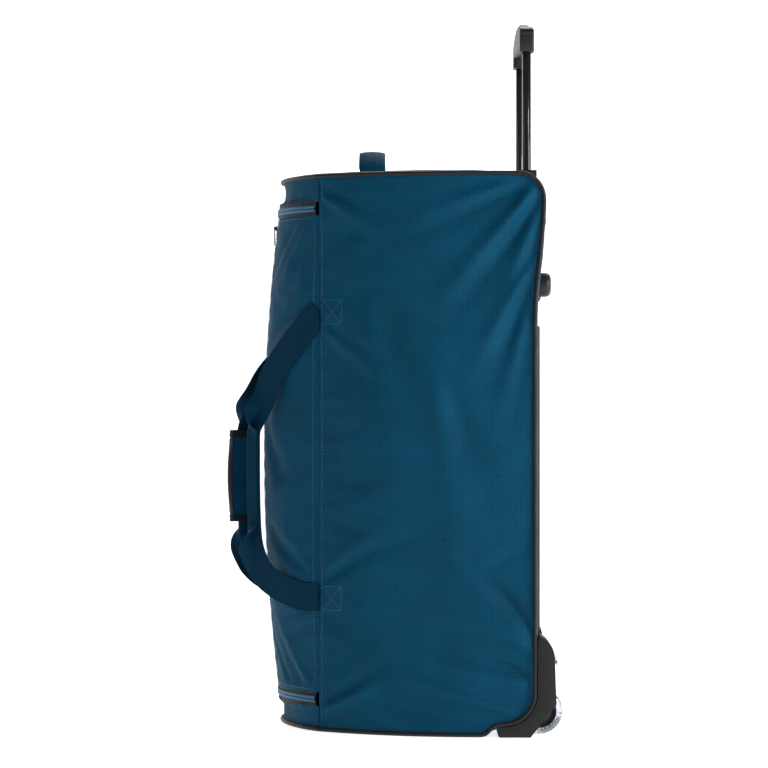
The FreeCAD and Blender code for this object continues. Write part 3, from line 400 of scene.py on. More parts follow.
def gusset_line():
    """The gusset's side outline as (y, z), from the top front over the back to the bottom front, 5 mm
    apart."""
    rough = [(-0.1525, BAG_HIGH), (CORNER_Y, BAG_HIGH)]
    rough += [(CORNER_Y + CORNER_RADIUS * math.cos(a), CORNER_Z + CORNER_RADIUS * math.sin(a))
              for a in (math.pi / 2 * (1 - i / 12) for i in range(1, 12))]
    rough += [(back_edge(CORNER_Z - 0.665 * i / 60), CORNER_Z - 0.665 * i / 60) for i in range(61)]
    rough += [(BEND_Y + GUARD_RADIUS * math.cos(a), BEND_Z - GUARD_RADIUS * math.sin(a))
              for a in (math.pi / 2 * i / 12 for i in range(1, 13))]
    rough += [(0.141, 0.0145), (0.126, 0.0), (-0.1525, 0.0)]
    return even([Vector((0, y, z)) for y, z in rough], 0.005)


def even(points, spacing):
    """Points the same distance apart along a line of points."""
    lengths = [0.0]
    for a, b in zip(points, points[1:]):
        lengths.append(lengths[-1] + (b - a).length)
    count = max(2, round(lengths[-1] / spacing) + 1)
    result = []
    k = 0
    for i in range(count):
        at = lengths[-1] * i / (count - 1)
        while k < len(points) - 2 and lengths[k + 1] < at:
            k += 1
        share = (at - lengths[k]) / max(lengths[k + 1] - lengths[k], 1e-9)
        result.append(points[k].lerp(points[k + 1], min(share, 1)))
    return result


def half_width(y):
    """Half the bag's width at y, round the front between the seams as well."""
    if y > SIDE_STRAIGHT_Y:
        return BACK_HALF
    if y > SEAM_Y:
        return BACK_HALF - SIDE_RADIUS + math.sqrt(SIDE_RADIUS ** 2 - (SIDE_STRAIGHT_Y - y) ** 2)
    centre = SEAM_Y - STRIP_SAG + STRIP_RADIUS
    return math.sqrt(max(STRIP_RADIUS ** 2 - (y - centre) ** 2, 1e-8))


line = gusset_line()
top_end = next(i for i, p in enumerate(line) if p.y > 0.15 and p.z < 0.680)
back_end = next(i for i, p in enumerate(line) if p.z < 0.092)
GUSSET = {"top_end": (0, top_end, 0.0042), "back": (top_end, back_end, 0.0012),
          "bottom_end": (back_end, len(line) - 1, -0.0008)}


def gusset_place(first, last, crown):
    """Where each point of one gusset panel goes; crown is how far its middle stands out."""
    def place(c, r):
        k = first + r * (last - first)
        i = min(int(k), last - 1)
        point = line[i].lerp(line[i + 1], k - i)
        ahead = (line[i + 1] - line[i]).normalized()
        out = Vector((0, -ahead.z, ahead.y))
        half = half_width(point.y)
        x = (2 * c - 1) * half
        edge = half - abs(x)
        free = held(edge, 0.05) * held(min(r, 1 - r) * (last - first) * 0.005, 0.03)
        clear = held(0.166 - point.y, 0.06) if point.z > 0.70 else 1.0
        seat = Vector((x * 11, k * 0.06, crown * 100))
        lift = clear * free * (crown + noise.noise(seat) * 0.0016 + noise.noise(seat * 2.7) * 0.0007)
        lift -= 0.0012 * (1 - held(edge, 0.010))
        spot = point + out * lift
        return Vector((x * 1.008, spot.y, max(spot.z, 0.0004))), x + 0.2, k * 0.005
    return place


gusset_cloths = {}
for name, (first, last, crown) in GUSSET.items():
    gusset_cloths[name] = woven_sheet(f"{name}_cloth", 60, max(12, last - first),
                                      gusset_place(first, last, crown))
settle([gusset_cloths["back"]], 0.006, 0.0014)
WELL_X = (0.1325, 0.1755)
for name, piece in gusset_cloths.items():
    face_out(piece, INSIDE)
    doomed = []
    for side in piece.data.polygons:
        x, y, z = abs(side.center.x), side.center.y, side.center.z
        in_well = WELL_X[0] < x < WELL_X[1] and math.hypot(y - 0.200, z - 0.032) < 0.0415
        at_boss = z > 0.70 and math.hypot(x - 0.100, y - 0.185) < 0.0115
        doomed.append(in_well or at_boss)
    if any(doomed):
        select_only(piece)
        bpy.ops.object.mode_set(mode="EDIT")
        bpy.ops.mesh.select_mode(type="FACE")
        bpy.ops.mesh.select_all(action="DESELECT")
        bpy.ops.object.mode_set(mode="OBJECT")
        for side, cut_out in zip(piece.data.polygons, doomed):
            side.select = cut_out
        bpy.ops.object.mode_set(mode="EDIT")
        bpy.ops.mesh.delete(type="FACE")
        bpy.ops.object.mode_set(mode="OBJECT")
    thicken(piece, CLOTH_THICK)
    piece.data.materials.append(shell_cloth)
    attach(piece, "bag")
    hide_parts(f"{name}_panel")


# ---------------------------------------------------------------- front strips
# Above and below the cross zips a narrow strip of the cloth closes each end of the front, gathered a little
# where it is sewn to the zip tape.
ZIP_LOW = 0.044
ZIP_HIGH = 0.716
TAPE_HALF = 0.010
END_SAG = 0.060
MID_SAG = 0.080


def front_point(x, z, sag, out=0.0):
    """Point on the front arc at a distance x from the middle along the chord, with its outward direction."""
    radius = (SEAM_X ** 2 + sag ** 2) / (2 * sag)
    turn = math.asin(min(max(x / radius, -1), 1))
    facing = Vector((math.sin(turn), -math.cos(turn), 0))
    centre = Vector((0, SEAM_Y - sag + radius, z))
    return centre + facing * (radius + out), facing, radius * turn


def strip_place(low, high, zip_at_low):
    """Where each point of a strip between the piping and a cross zip goes."""
    def place(c, r):
        z = low + r * (high - low)
        from_zip = (z - low) if zip_at_low else (high - z)
        from_welt = (high - z) if zip_at_low else (z - low)
        x = (2 * c - 1) * SEAM_X
        ends = held(SEAM_X - abs(x), 0.03)
        gather = math.sin(x * 260 + 3 * noise.noise(Vector((x * 30, 0, low)))) * 0.0007
        ruck = noise.noise(Vector((x * 22, z * 30, low * 9))) * 0.0026 * held(from_welt, 0.014)
        sag = STRIP_SAG + 0.0072 * ends * (1 - held(from_zip, 0.010))
        lift = ends * (ruck + gather * (1 - held(from_zip, 0.016)) + 0.0016 * (1 - held(from_welt, 0.006)))
        point, _, u = front_point(x, z, sag, lift)
        return point, u, z
    return place


STRIPS = {"upper": (ZIP_HIGH + TAPE_HALF - 0.0012, BAG_HIGH - PIPING_INSET, True),
          "lower": (PIPING_INSET, ZIP_LOW - TAPE_HALF + 0.0012, False)}
for level, (low, high, zip_at_low) in STRIPS.items():
    piece = woven_sheet(f"front_strip_{level}_cloth", 110, 14, strip_place(low, high, zip_at_low))
    face_out(piece, INSIDE)
    thicken(piece, CLOTH_THICK)
    piece.data.materials.append(shell_cloth)
    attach(piece, "bag")
    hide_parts(f"front_strip_{level}")


# ---------------------------------------------------------------- piping
# A plastic cord in a bias strip of black twill is caught in the seam round each side and round both ends of
# the front. The right and left runs meet in the middle of the front.
PIPING_RADIUS = 0.0028
PIPING_OUT = 0.0029


def piping_run(sign):
    """The centre line of one side's piping, closed through the middle of the front."""
    low = PIPING_INSET
    high = BAG_HIGH - PIPING_INSET
    front = [front_point(sign * SEAM_X * i / 12, 0, STRIP_SAG, PIPING_OUT)[0] for i in range(13)]
    arc = [side_point(ARC_LENGTH * i / 16) for i in range(1, 17)]
    arc = [point + out * PIPING_OUT for point, out in arc]
    points = [Vector((p.x, p.y, low)) for p in front]
    points += [Vector((sign * p.x, p.y, low)) for p in arc]
    x = sign * (BACK_HALF + PIPING_OUT)
    inset = [p for p in reversed(gusset_line()) if p.y > SIDE_STRAIGHT_Y + 0.004]
    centre = Vector((0, 0.08, 0.38))
    for a, b in zip(inset, inset[1:]):
        ahead = (b - a).normalized()
        inward = Vector((0, -ahead.z, ahead.y))
        if inward.dot(centre - a) < 0:
            inward = -inward
        points.append(Vector((x, a.y, a.z)) + inward * PIPING_INSET)
    points += [Vector((sign * p.x, p.y, high)) for p in reversed(arc)]
    points += [Vector((p.x, p.y, high)) for p in reversed(front)]
    wander = []
    for p in even(points, 0.006):
        seat = p * 31
        wander.append(p + Vector((noise.noise(seat), noise.noise(seat + Vector((5, 0, 0))), 0)) * 0.0006)
    return wander


def tube_along(name, points, radius, sides=10):
    """A round cord that follows a line of points, as a mesh with its length as u."""
    bpy.ops.object.select_all(action="DESELECT")
    bpy.ops.curve.primitive_nurbs_path_add()
    piece = bpy.context.object
    piece.name = name
    curve = piece.data
    curve.splines.clear()
    spline = curve.splines.new("NURBS")
    spline.points.add(len(points) - 1)
    for slot, point in zip(spline.points, points):
        slot.co = (*point, 1)
    spline.order_u = 3
    spline.use_endpoint_u = True
    spline.resolution_u = 2
    curve.bevel_depth = radius
    curve.bevel_resolution = max(0, sides // 4 - 1)
    curve.use_fill_caps = True
    select_only(piece)
    bpy.ops.object.convert(target="MESH")
    bpy.ops.object.shade_smooth()
    return bpy.context.object


def black_twill(name, base, light, pitch, rough):
    """Tightly woven black tape: fine slanted ribs that catch a grey edge of light."""
    material, tree, shader = finish_of(name, Roughness=rough, Sheen_Weight=0.04, Sheen_Roughness=0.4,
                                       Specular_IOR_Level=0.3)
    place = add(tree, "TexCoord").outputs["Object"]
    ribs = add(tree, "TexWave", {"Vector": place, "Scale": math.pi / 10 / pitch, "Distortion": 0.6,
                                 "Detail Scale": 2.0}, bands_direction="DIAGONAL")
    two_tone(tree, shader, ribs.outputs["Fac"], base, light)
    relief(tree, shader, ribs.outputs["Fac"], 0.5, 0.0003)
    return material


piping_cloth = black_twill("black_piping_twill", "#0B0B0D", "#26262A", 0.0016, 0.5)
for side, sign in (("right", 1), ("left", -1)):
    piece = tube_along(f"piping_{side}", piping_run(sign), PIPING_RADIUS, 12)
    piece.data.materials.append(piping_cloth)
    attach(piece, "bag")
    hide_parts(f"edge_piping_{side}")


# ---------------------------------------------------------------- front flaps
# The front opens as two halves of the same cloth, each sewn to the bag along its side seam and zipped along
# its other three edges. They bulge most at mid height and fold where the handles pull.
def flap_sag(z):
    """How far the front bows out of the plane of its seams at a height."""
    t = (z - 0.380) / 0.326
    return END_SAG + (MID_SAG - END_SAG) * (1 - t * t)


FLAP_FOLDS = [   # start x, z, end x, z, half width, height
    (0.120, 0.700, 0.040, 0.560, 0.008, 0.0034), (0.100, 0.704, 0.020, 0.610, 0.007, -0.0026),
    (0.124, 0.590, 0.030, 0.520, 0.008, -0.0026), (0.124, 0.545, 0.050, 0.400, 0.010, 0.0030),
    (0.124, 0.215, 0.030, 0.300, 0.010, -0.0030), (0.124, 0.160, 0.040, 0.120, 0.008, 0.0028),
    (0.118, 0.060, 0.040, 0.190, 0.009, 0.0034), (0.080, 0.056, 0.020, 0.150, 0.007, -0.0024),
    (0.110, 0.640, 0.104, 0.470, 0.010, 0.0022), (0.030, 0.420, 0.100, 0.240, 0.014, 0.0020),
]


def flap_place(sign):
    """Where each point of a flap goes, from the centre zip's tape to the seam it hinges on."""
    def place(c, r):
        z = ZIP_LOW + TAPE_HALF - 0.0012 + r * (ZIP_HIGH - ZIP_LOW - 2 * TAPE_HALF + 0.0024)
        x = 0.0088 + c * (SEAM_X - 0.0088)
        free = held(min(x - 0.0088, z - 0.054, 0.706 - z), 0.022) * held(SEAM_X - x, 0.030)
        seat = Vector((x * 13, z * 8, 5 + sign))
        lift = free * (noise.noise(seat) * 0.0020 + noise.noise(seat * 3) * 0.0009
                       + 1.2 * fold_height(Vector((x, z)), FLAP_FOLDS) - 0.0008)
        lift += 0.0005 * math.sin(z * 230) * (1 - held(x - 0.0088, 0.012)) - 0.0012 * (1 - held(SEAM_X - x,
                                                                                                0.004))
        point, _, u = front_point(x, z, flap_sag(z), lift)
        return Vector((point.x * sign, point.y, z)), u, z
    return place


flap_cloths = {}
for side, sign in (("right", 1), ("left", -1)):
    flap_cloths[side] = woven_sheet(f"flap_cloth_{side}", 40, 132, flap_place(sign))
settle(list(flap_cloths.values()), 0.010, 0.0022)
for side, piece in flap_cloths.items():
    face_out(piece, INSIDE)
    thicken(piece, CLOTH_THICK)
    piece.data.materials.append(shell_cloth)
    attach(piece, f"front_flap_{side}")
    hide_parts(f"front_flap_{side}")


# ---------------------------------------------------------------- zips
# Size 10 coil zips: a woven black tape each side, and a blue nylon coil whose turns are sewn to the tape's
# edge and mesh with those of the other half.
COIL_HALF = 0.0042
COIL_PITCH = 0.0024
zip_tape = black_twill("black_zip_tape", "#0C0C0E", "#242428", 0.0014, 0.6)
coil_nylon, tree, shader = finish_of("blue_nylon_coil", Roughness=0.32, Specular_IOR_Level=0.55,
                                     Coat_Weight=0.15)
streak = add(tree, "TexNoise", {"Vector": add(tree, "TexCoord").outputs["Object"], "Scale": 160.0})
two_tone(tree, shader, streak.outputs["Fac"], "#255F85", "#3F86AE")


def repeat(name, pattern, places):
    """Copies of one small shape joined into one mesh, each at its own place."""
    corners = [corner.co.copy() for corner in pattern.data.vertices]
    faces = [tuple(side.vertices) for side in pattern.data.polygons]
    all_corners = []
    all_faces = []
    for place in places:
        first = len(all_corners)
        all_corners += [place @ corner for corner in corners]
        all_faces += [tuple(first + i for i in face) for face in faces]
    mesh = bpy.data.meshes.new(name)
    mesh.from_pydata(all_corners, [], all_faces)
    piece = bpy.data.objects.new(name, mesh)
    bpy.context.scene.collection.objects.link(piece)
    select_only(piece)
    bpy.ops.object.shade_smooth_by_angle(angle=math.radians(50))
    bpy.data.objects.remove(pattern)
    return piece


def standing(point, along, out):
    """A place whose x runs along the line and z points out of the surface."""
    x = along.normalized()
    z = (out - x * out.dot(x)).normalized()
    y = z.cross(x)
    return Matrix.Translation(point) @ Matrix((x, y, z)).transposed().to_4x4()


def coil_turn():
    """One turn of the coil: a short flattened loop lying across the tape."""
    bpy.ops.object.select_all(action="DESELECT")
    bpy.ops.mesh.primitive_cylinder_add(vertices=6, radius=0.00085, depth=COIL_HALF,
                                        rotation=(math.pi / 2, 0, 0))
    turn = bpy.context.object
    bpy.ops.object.transform_apply(location=True, rotation=True, scale=True)
    bpy.ops.object.mode_set(mode="EDIT")
    bpy.ops.mesh.select_all(action="SELECT")
    bpy.ops.mesh.bevel(offset=0.0004, segments=1)
    bpy.ops.object.mode_set(mode="OBJECT")
    for corner in turn.data.vertices:
        corner.co.z = corner.co.z * (1.3 - 90 * abs(corner.co.y))
    return turn


def zip_half(name, run, toward, body, replaced):
    """One half of a zip along a run of (point, out): tape from the teeth outwards, and its coil.

    toward is the direction from the teeth into the cloth, at each point."""
    count = len(run) - 1

    def place(c, r):
        k = min(int(r * count), count - 1)
        share = r * count - k
        point = run[k][0].lerp(run[k + 1][0], share)
        out = run[k][1].lerp(run[k + 1][1], share).normalized()
        side = toward(run[k], run[k + 1])
        width = 0.0006 + c * (TAPE_HALF + 0.0016)
        return point + side * width + out * (-0.0004 - 0.0006 * c), width, r * count * 0.006
    tape = woven_sheet(f"{name}_tape", 6, count, place)
    face_out(tape, INSIDE)
    thicken(tape, 0.0008)
    tape.data.materials.append(zip_tape)
    places = []
    steps = even([point for point, _ in run], COIL_PITCH)
    for i, (a, b) in enumerate(zip(steps, steps[1:])):
        near = min(range(count), key=lambda k: (run[k][0] - a).length)
        out = run[near][1]
        side = toward(run[near], run[near + 1])
        places.append(standing(a + side * (COIL_HALF / 2 + 0.0002) + out * 0.0008, b - a, out))
    coil = repeat(f"{name}_coil", coil_turn(), places)
    coil.data.materials.append(coil_nylon)
    for piece in (tape, coil):
        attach(piece, body)
    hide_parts(*replaced)


def arc_run(z, sign_from, sign_to, sag):
    """Points and outward directions along a cross zip."""
    points = []
    for i in range(45):
        x = (sign_from + (sign_to - sign_from) * i / 44) * (SEAM_X - 0.0035)
        point, out, _ = front_point(x, z, sag)
        points.append((point, out))
    return points


UP = Vector((0, 0, 1))
zip_half("zip_upper_bag", arc_run(ZIP_HIGH, -1, 1, END_SAG), lambda a, b: UP, "bag", ["zip_half_upper"])
zip_half("zip_lower_bag", arc_run(ZIP_LOW, -1, 1, END_SAG), lambda a, b: -UP, "bag", ["zip_half_lower"])
for side, sign in (("right", 1), ("left", -1)):
    body = f"front_flap_{side}"
    upright = []
    for i in range(113):
        z = ZIP_LOW + (ZIP_HIGH - ZIP_LOW) * i / 112
        point, out, _ = front_point(0.0, z, flap_sag(min(max(z, 0.054), 0.706)))
        upright.append((point, out))
    zip_half(f"zip_centre_{side}", upright, lambda a, b, sign=sign: Vector((sign, 0, 0)), body,
             [f"zip_half_{side}"])
    zip_half(f"zip_top_{side}", arc_run(ZIP_HIGH, 0.02 * sign, sign, END_SAG), lambda a, b: -UP, body, [])
    zip_half(f"zip_bottom_{side}", arc_run(ZIP_LOW, 0.02 * sign, sign, END_SAG), lambda a, b: UP, body, [])


# ---------------------------------------------------------------- stitching
# Teal bonded polyester thread: a row each side of the front seams, a row inside the piping, a row beside
# every zip, and a crossed box where the webbing of each carry handle is sewn behind the side panel.
STITCH_LONG = 0.0034
STITCH_PITCH = 0.0046    # real stitches are about 3.5 mm; drawn longer so that they show
thread, tree, shader = finish_of("bonded_thread", Roughness=0.45, Sheen_Weight=0.2)
twist = add(tree, "TexWave", {"Vector": add(tree, "TexCoord").outputs["Object"], "Scale": 450.0},
            bands_direction="DIAGONAL")
two_tone(tree, shader, twist.outputs["Fac"], "#003F5E", "#0A5C80")


def one_stitch():
    """One lockstitch: a short thread that dives into the cloth at both ends."""
    bpy.ops.object.select_all(action="DESELECT")
    bpy.ops.mesh.primitive_cylinder_add(vertices=6, radius=0.0005, depth=STITCH_LONG,
                                        rotation=(0, math.pi / 2, 0))
    stitch = bpy.context.object
    bpy.ops.object.transform_apply(location=True, rotation=True, scale=True)
    bpy.ops.object.mode_set(mode="EDIT")
    bpy.ops.mesh.select_all(action="SELECT")
    bpy.ops.mesh.subdivide(number_cuts=1)
    bpy.ops.object.mode_set(mode="OBJECT")
    for corner in stitch.data.vertices:
        t = 2 * corner.co.x / STITCH_LONG
        corner.co.z += 0.0004 - 0.0007 * t * t
    return stitch


def stitch_rows(name, rows, cloth, body):
    """Rows of stitches laid on a cloth's surface; a row is a list of points near it."""
    places = []
    for row in rows:
        steps = even(row, STITCH_PITCH)
        for a, b in zip(steps, steps[1:]):
            found, spot, out, _ = cloth.closest_point_on_mesh((a + b) / 2)
            if found:
                places.append(standing(spot, b - a, out))
    piece = repeat(name, one_stitch(), places)
    piece.data.materials.append(thread)
    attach(piece, body)
    return piece


def side_row(sign, points):
    """A row on the side panel given as (metres from the seam, z)."""
    row = []
    for s, z in points:
        point, out = side_point(s)
        row.append(Vector(((point.x + out.x * 0.004) * sign, point.y + out.y * 0.004, z)))
    return row


ANCHORS = (0.574, 0.183)
BOX_NEAR = 0.004
BOX_FAR = 0.036
BOX_HALF = 0.0165
for side, sign in (("right", 1), ("left", -1)):
    rows = [side_row(sign, [(0.0045, z / 100) for z in range(1, 76)])]
    for middle in ANCHORS:
        low = middle - BOX_HALF
        high = middle + BOX_HALF
        rows.append(side_row(sign, [(BOX_NEAR + 0.003, low), (BOX_FAR, low), (BOX_FAR, high),
                                    (BOX_NEAR + 0.003, high)]))
        rows.append(side_row(sign, [(BOX_NEAR + 0.003, low), (BOX_FAR, high)]))
        rows.append(side_row(sign, [(BOX_NEAR + 0.003, high), (BOX_FAR, low)]))
    edge = []
    for i in range(150):
        z = 0.012 + (BAG_HIGH - 0.024) * i / 149
        edge.append((ARC_LENGTH + back_edge(z) - SIDE_STRAIGHT_Y - 0.009, z))
    rows.append(side_row(sign, edge))
    stitch_rows(f"side_stitching_{side}", rows, side_cloths[side], "bag")
    flap_rows = []
    for x in (0.0122, SEAM_X - 0.0046):
        flap_rows.append([front_point(x, z / 1000, flap_sag(z / 1000))[0] for z in range(60, 702, 6)])
    for z in (0.0572, 0.7028):
        flap_rows.append([front_point(0.014 + (SEAM_X - 0.020) * i / 40, z,
                                      flap_sag(z))[0] for i in range(41)])
    flap_rows = [[Vector((p.x * sign, p.y, p.z)) for p in row] for row in flap_rows]
    stitch_rows(f"flap_stitching_{side}", flap_rows, flap_cloths[side], f"front_flap_{side}")


# ---------------------------------------------------------------- carry handles
# Polyester webbing, 38 mm wide, its ends caught in the side seam and boxed behind the panel. Each loop lies
# flat where it leaves the seam and is folded in half lengthwise where the hand takes it.
WEB_WIDE = 0.038
WEB_THICK = 0.0022
FOLD_SHARE = 0.54          # share of the width that stays inside the fold line
HANDLE_TURN = SEAM_TURN
webbing = woven_cloth("polyester_webbing", "#001B2C", "#00273E", "#003F5A", 0.0021, 0.75, 0.0, 0.35)


def strap_point(sign, d, z, out):
    """A point of a carry handle: d from the seam in the plane that leaves it, out of that plane by out."""
    along = Vector((-sign * math.sin(HANDLE_TURN), -math.cos(HANDLE_TURN), 0))
    facing = Vector((sign * math.cos(HANDLE_TURN), -math.sin(HANDLE_TURN), 0))
    return Vector((sign * (SEAM_X + 0.0015), SEAM_Y - 0.0006, z)) + along * d + facing * out


def smooth_through(points, count):
    """A Catmull-Rom line through points."""
    rounded = []
    last = len(points) - 1
    for i in range(count):
        k = i / (count - 1) * last
        j = min(int(k), last - 1)
        t = k - j
        p = [points[min(max(j + n, 0), last)] for n in (-1, 0, 1, 2)]
        rounded.append(0.5 * (2 * p[1] + (p[2] - p[0]) * t + (2 * p[0] - 5 * p[1] + 4 * p[2] - p[3]) * t * t
                              + (3 * p[1] - p[0] - 3 * p[2] + p[3]) * t * t * t))
    return rounded


def loop_line(reach):
    """The webbing's fold line as (d, z, share folded): its middle where flat, its outer edge where
    folded."""
    return [Vector(p) for p in (
        (0.000, 0.5745, 0.0), (0.020, 0.5560, 0.0), (reach * 0.62, 0.4960, 0.0),
        (reach - 0.023, 0.4520, 0.02),
        (reach - 0.008, 0.4290, 0.55), (reach - 0.0005, 0.4120, 0.97), (reach, 0.3800, 1.0),
        (reach, 0.3400, 1.0),
        (reach, 0.3050, 1.0), (reach - 0.001, 0.2800, 0.95), (reach - 0.004, 0.2560, 0.45),
        (reach - 0.012, 0.2320, 0.08), (reach - 0.024, 0.2120, 0.0), (reach - 0.050, 0.1950, 0.0),
        (0.030, 0.1830, 0.0), (0.000, 0.1825, 0.0))]


def strap_place(sign, reach):
    """Where each point of a loop of webbing goes."""
    steps = smooth_through(loop_line(reach), 400)
    lengths = [0.0]
    for a, b in zip(steps, steps[1:]):
        lengths.append(lengths[-1] + (b - a).xy.length)

    def place(c, r):
        k = r * (len(steps) - 1)
        i = min(int(k), len(steps) - 2)
        here = steps[i].lerp(steps[i + 1], k - i)
        before = steps[max(i - 4, 0)]
        after = steps[min(i + 5, len(steps) - 1)]
        ahead = Vector((after.x - before.x, after.y - before.y)).normalized()
        inward = Vector((ahead.y, -ahead.x))
        across = (c - FOLD_SHARE) * WEB_WIDE
        turn = math.pi * here.z
        lay = Vector((here.x, here.y))
        if across >= 0:
            lay += inward * -across * math.cos(turn)
            out = across * math.sin(turn) + 0.0028 * math.sin(turn / 2) ** 2
        else:
            lay += inward * -across
            out = 0.0
        ripple = 0.0008 * math.sin(r * 19) * math.sin(math.pi * r)
        return strap_point(sign, max(lay.x, -0.001), lay.y, out + ripple), across, lengths[i]
    return place


REACHES = {"right": 0.1165, "left": 0.1414}
for side, sign in (("right", 1), ("left", -1)):
    piece = woven_sheet(f"carry_webbing_{side}", 14, 150, strap_place(sign, REACHES[side]))
    outside = strap_point(sign, 0.06, 0.38, -0.5)
    face_out(piece, outside)
    thicken(piece, WEB_THICK, 0.0, 1)
    piece.data.materials.append(webbing)
    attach(piece, f"carry_handle_{side}")
    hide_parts(f"carry_handle_{side}")

bpy.context.view_layer.update()


def patch_place(sign, middle):
    """A sewn end of webbing lying flat behind the side panel."""
    def place(c, r):
        s = BOX_NEAR + c * (BOX_FAR - BOX_NEAR + 0.002)
        z = middle + (r - 0.5) * WEB_WIDE
        point, out = side_point(s)
        point = point - out * 0.0048
        return Vector((point.x * sign, point.y, z)), z, s
    return place


for sign in (1, -1):
    for middle in ANCHORS:
        piece = woven_sheet(f"sewn_end_{'right' if sign > 0 else 'left'}_{round(middle * 1000)}", 8, 10,
                            patch_place(sign, middle))
        face_out(piece, INSIDE)
        thicken(piece, WEB_THICK, 0.0, 0)
        piece.data.materials.append(webbing)
        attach(piece, "bag")
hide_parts("handle_sewn_ends")

# The padded wrap on the left loop: a foam strip covered in the shell cloth, bound in black at both ends and
# closed along its outer edge with black hook-and-loop tape.
WRAP_MID = 0.1414 - WEB_WIDE / 4
WRAP_Z = 0.344
WRAP_HALF = Vector((0.0215, 0.0065, 0.0655))


def wrap_place(shrink, low, high, puff):
    """A closed rounded sleeve round the webbing: c runs round it, r up it."""
    def place(c, r):
        turn = 2 * math.pi * c
        z = low + (high - low) * r
        t = (z - WRAP_Z) / WRAP_HALF.z
        swell = 1 + puff * (1 - t * t)
        squarish = (abs(math.cos(turn)) ** 4 + abs(math.sin(turn)) ** 4) ** -0.25
        d = WRAP_MID + (WRAP_HALF.x - 0.0012 + shrink) * squarish * math.cos(turn)
        out = (WRAP_HALF.y - 0.0010 + shrink) * squarish ** 0.5 * math.sin(turn) * swell
        bow = 0.0022 * (1 - t * t) if math.cos(turn) > 0 else 0.0
        ruck = noise.noise(Vector((math.cos(turn), math.sin(turn), z * 60))) * 0.0004
        return strap_point(-1, d + bow, z, out + ruck + 0.0004), c * 0.1, z
    return place


def close_roll(piece):
    """Join a rolled sheet where its edges meet, with its faces turned outwards."""
    select_only(piece)
    bpy.ops.object.mode_set(mode="EDIT")
    bpy.ops.mesh.select_all(action="SELECT")
    bpy.ops.mesh.remove_doubles(threshold=0.00005)
    bpy.ops.mesh.normals_make_consistent(inside=False)
    bpy.ops.object.mode_set(mode="OBJECT")


def sleeve(name, shrink, low, high, puff, thick, rows):
    """A closed cover round the webbing, which rides with the left handle."""
    piece = woven_sheet(name, 48, rows, wrap_place(shrink, low, high, puff))
    close_roll(piece)
    face_out(piece, strap_point(-1, WRAP_MID, WRAP_Z, 0))
    thicken(piece, thick, -1.0, 1)
    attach(piece, "carry_handle_left")
    return piece


wrap_cover = sleeve("grip_wrap_cover", 0.0, WRAP_Z - WRAP_HALF.z + 0.001, WRAP_Z + WRAP_HALF.z - 0.001, 0.16,
                    0.0022, 30)
wrap_cover.data.materials.append(shell_cloth)
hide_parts("grip_wrap")
for name, low in (("lower", WRAP_Z - WRAP_HALF.z), ("upper", WRAP_Z + WRAP_HALF.z - 0.010)):
    binding = sleeve(f"wrap_binding_{name}", 0.0010, low, low + 0.010, 0.0, 0.0012, 4)
    binding.data.materials.append(zip_tape)


def closure_place(c, r):
    """Black tape bowed along the wrap's outer edge."""
    t = 2 * r - 1
    z = WRAP_Z + t * (WRAP_HALF.z - 0.012)
    turn = (c - 0.5) * math.pi * 0.9
    bow = 0.0052 * (1 - t * t)
    return (strap_point(-1, WRAP_MID + WRAP_HALF.x - 0.0010 + bow * math.cos(turn), z,
                        0.0056 * math.sin(turn)),
            c * 0.02, z)


closure = woven_sheet("wrap_closure", 10, 24, closure_place)
face_out(closure, strap_point(-1, WRAP_MID, WRAP_Z, 0))
thicken(closure, 0.0012, -1.0, 1)
closure.data.materials.append(zip_tape)
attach(closure, "carry_handle_left")


# ---------------------------------------------------------------- haul handle
# A short webbing arch on the top end for lifting the bag upright, with a foam pad covered in the shell cloth
# sewn round its middle, and tabs stitched down to the top panel.
HAUL_Y = -0.0285
HAUL_RISE = 0.036
HAUL_HALF = 0.085
PAD_HALF = 0.077
HAUL_RADIUS = (HAUL_HALF ** 2 + HAUL_RISE ** 2) / (2 * HAUL_RISE)


def haul_point(x, y, lift):
    """A point of the arch; past its feet it lies on the top panel."""
    if abs(x) > HAUL_HALF:
        return Vector((x, HAUL_Y + y, BAG_HIGH + 0.0026 + lift))
    turn = math.asin(x / HAUL_RADIUS)
    reach = HAUL_RADIUS + lift
    height = BAG_HIGH + HAUL_RISE - HAUL_RADIUS + reach * math.cos(turn)
    return Vector((reach * math.sin(turn), HAUL_Y + y, max(height, BAG_HIGH + 0.0026 + lift)))


def haul_place(c, r):
    """The webbing, which runs on past the arch's feet."""
    x = (2 * r - 1) * (HAUL_HALF + 0.022)
    return haul_point(x, (c - 0.5) * 0.025, 0.0), (c - 0.5) * 0.025, x


haul_web = woven_sheet("haul_webbing", 6, 90, haul_place)
face_out(haul_web, Vector((0, HAUL_Y, 0.70)))
thicken(haul_web, 0.0020, 0.0, 1)
haul_web.data.materials.append(webbing)
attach(haul_web, "bag")
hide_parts("haul_handle_webbing")


def pad_place(c, r):
    """The pad's skin: c round its section, r along the arch, closed in at both ends."""
    t = 2 * r - 1
    x = t * PAD_HALF
    turn = 2 * math.pi * c
    close = max(1 - abs(t) ** 14, 0.02) ** 0.5
    squarish = (abs(math.cos(turn)) ** 3 + abs(math.sin(turn)) ** 3) ** (-1 / 3)
    seat = Vector((math.cos(turn) * 2, math.sin(turn) * 2, x * 45))
    ruck = noise.noise(seat) * 0.0005
    y = 0.0182 * squarish * math.cos(turn) * (0.90 + 0.10 * close)
    lift = (0.0044 + ruck) * squarish ** 0.4 * math.sin(turn) * close
    return haul_point(x, y, lift), c * 0.09, x


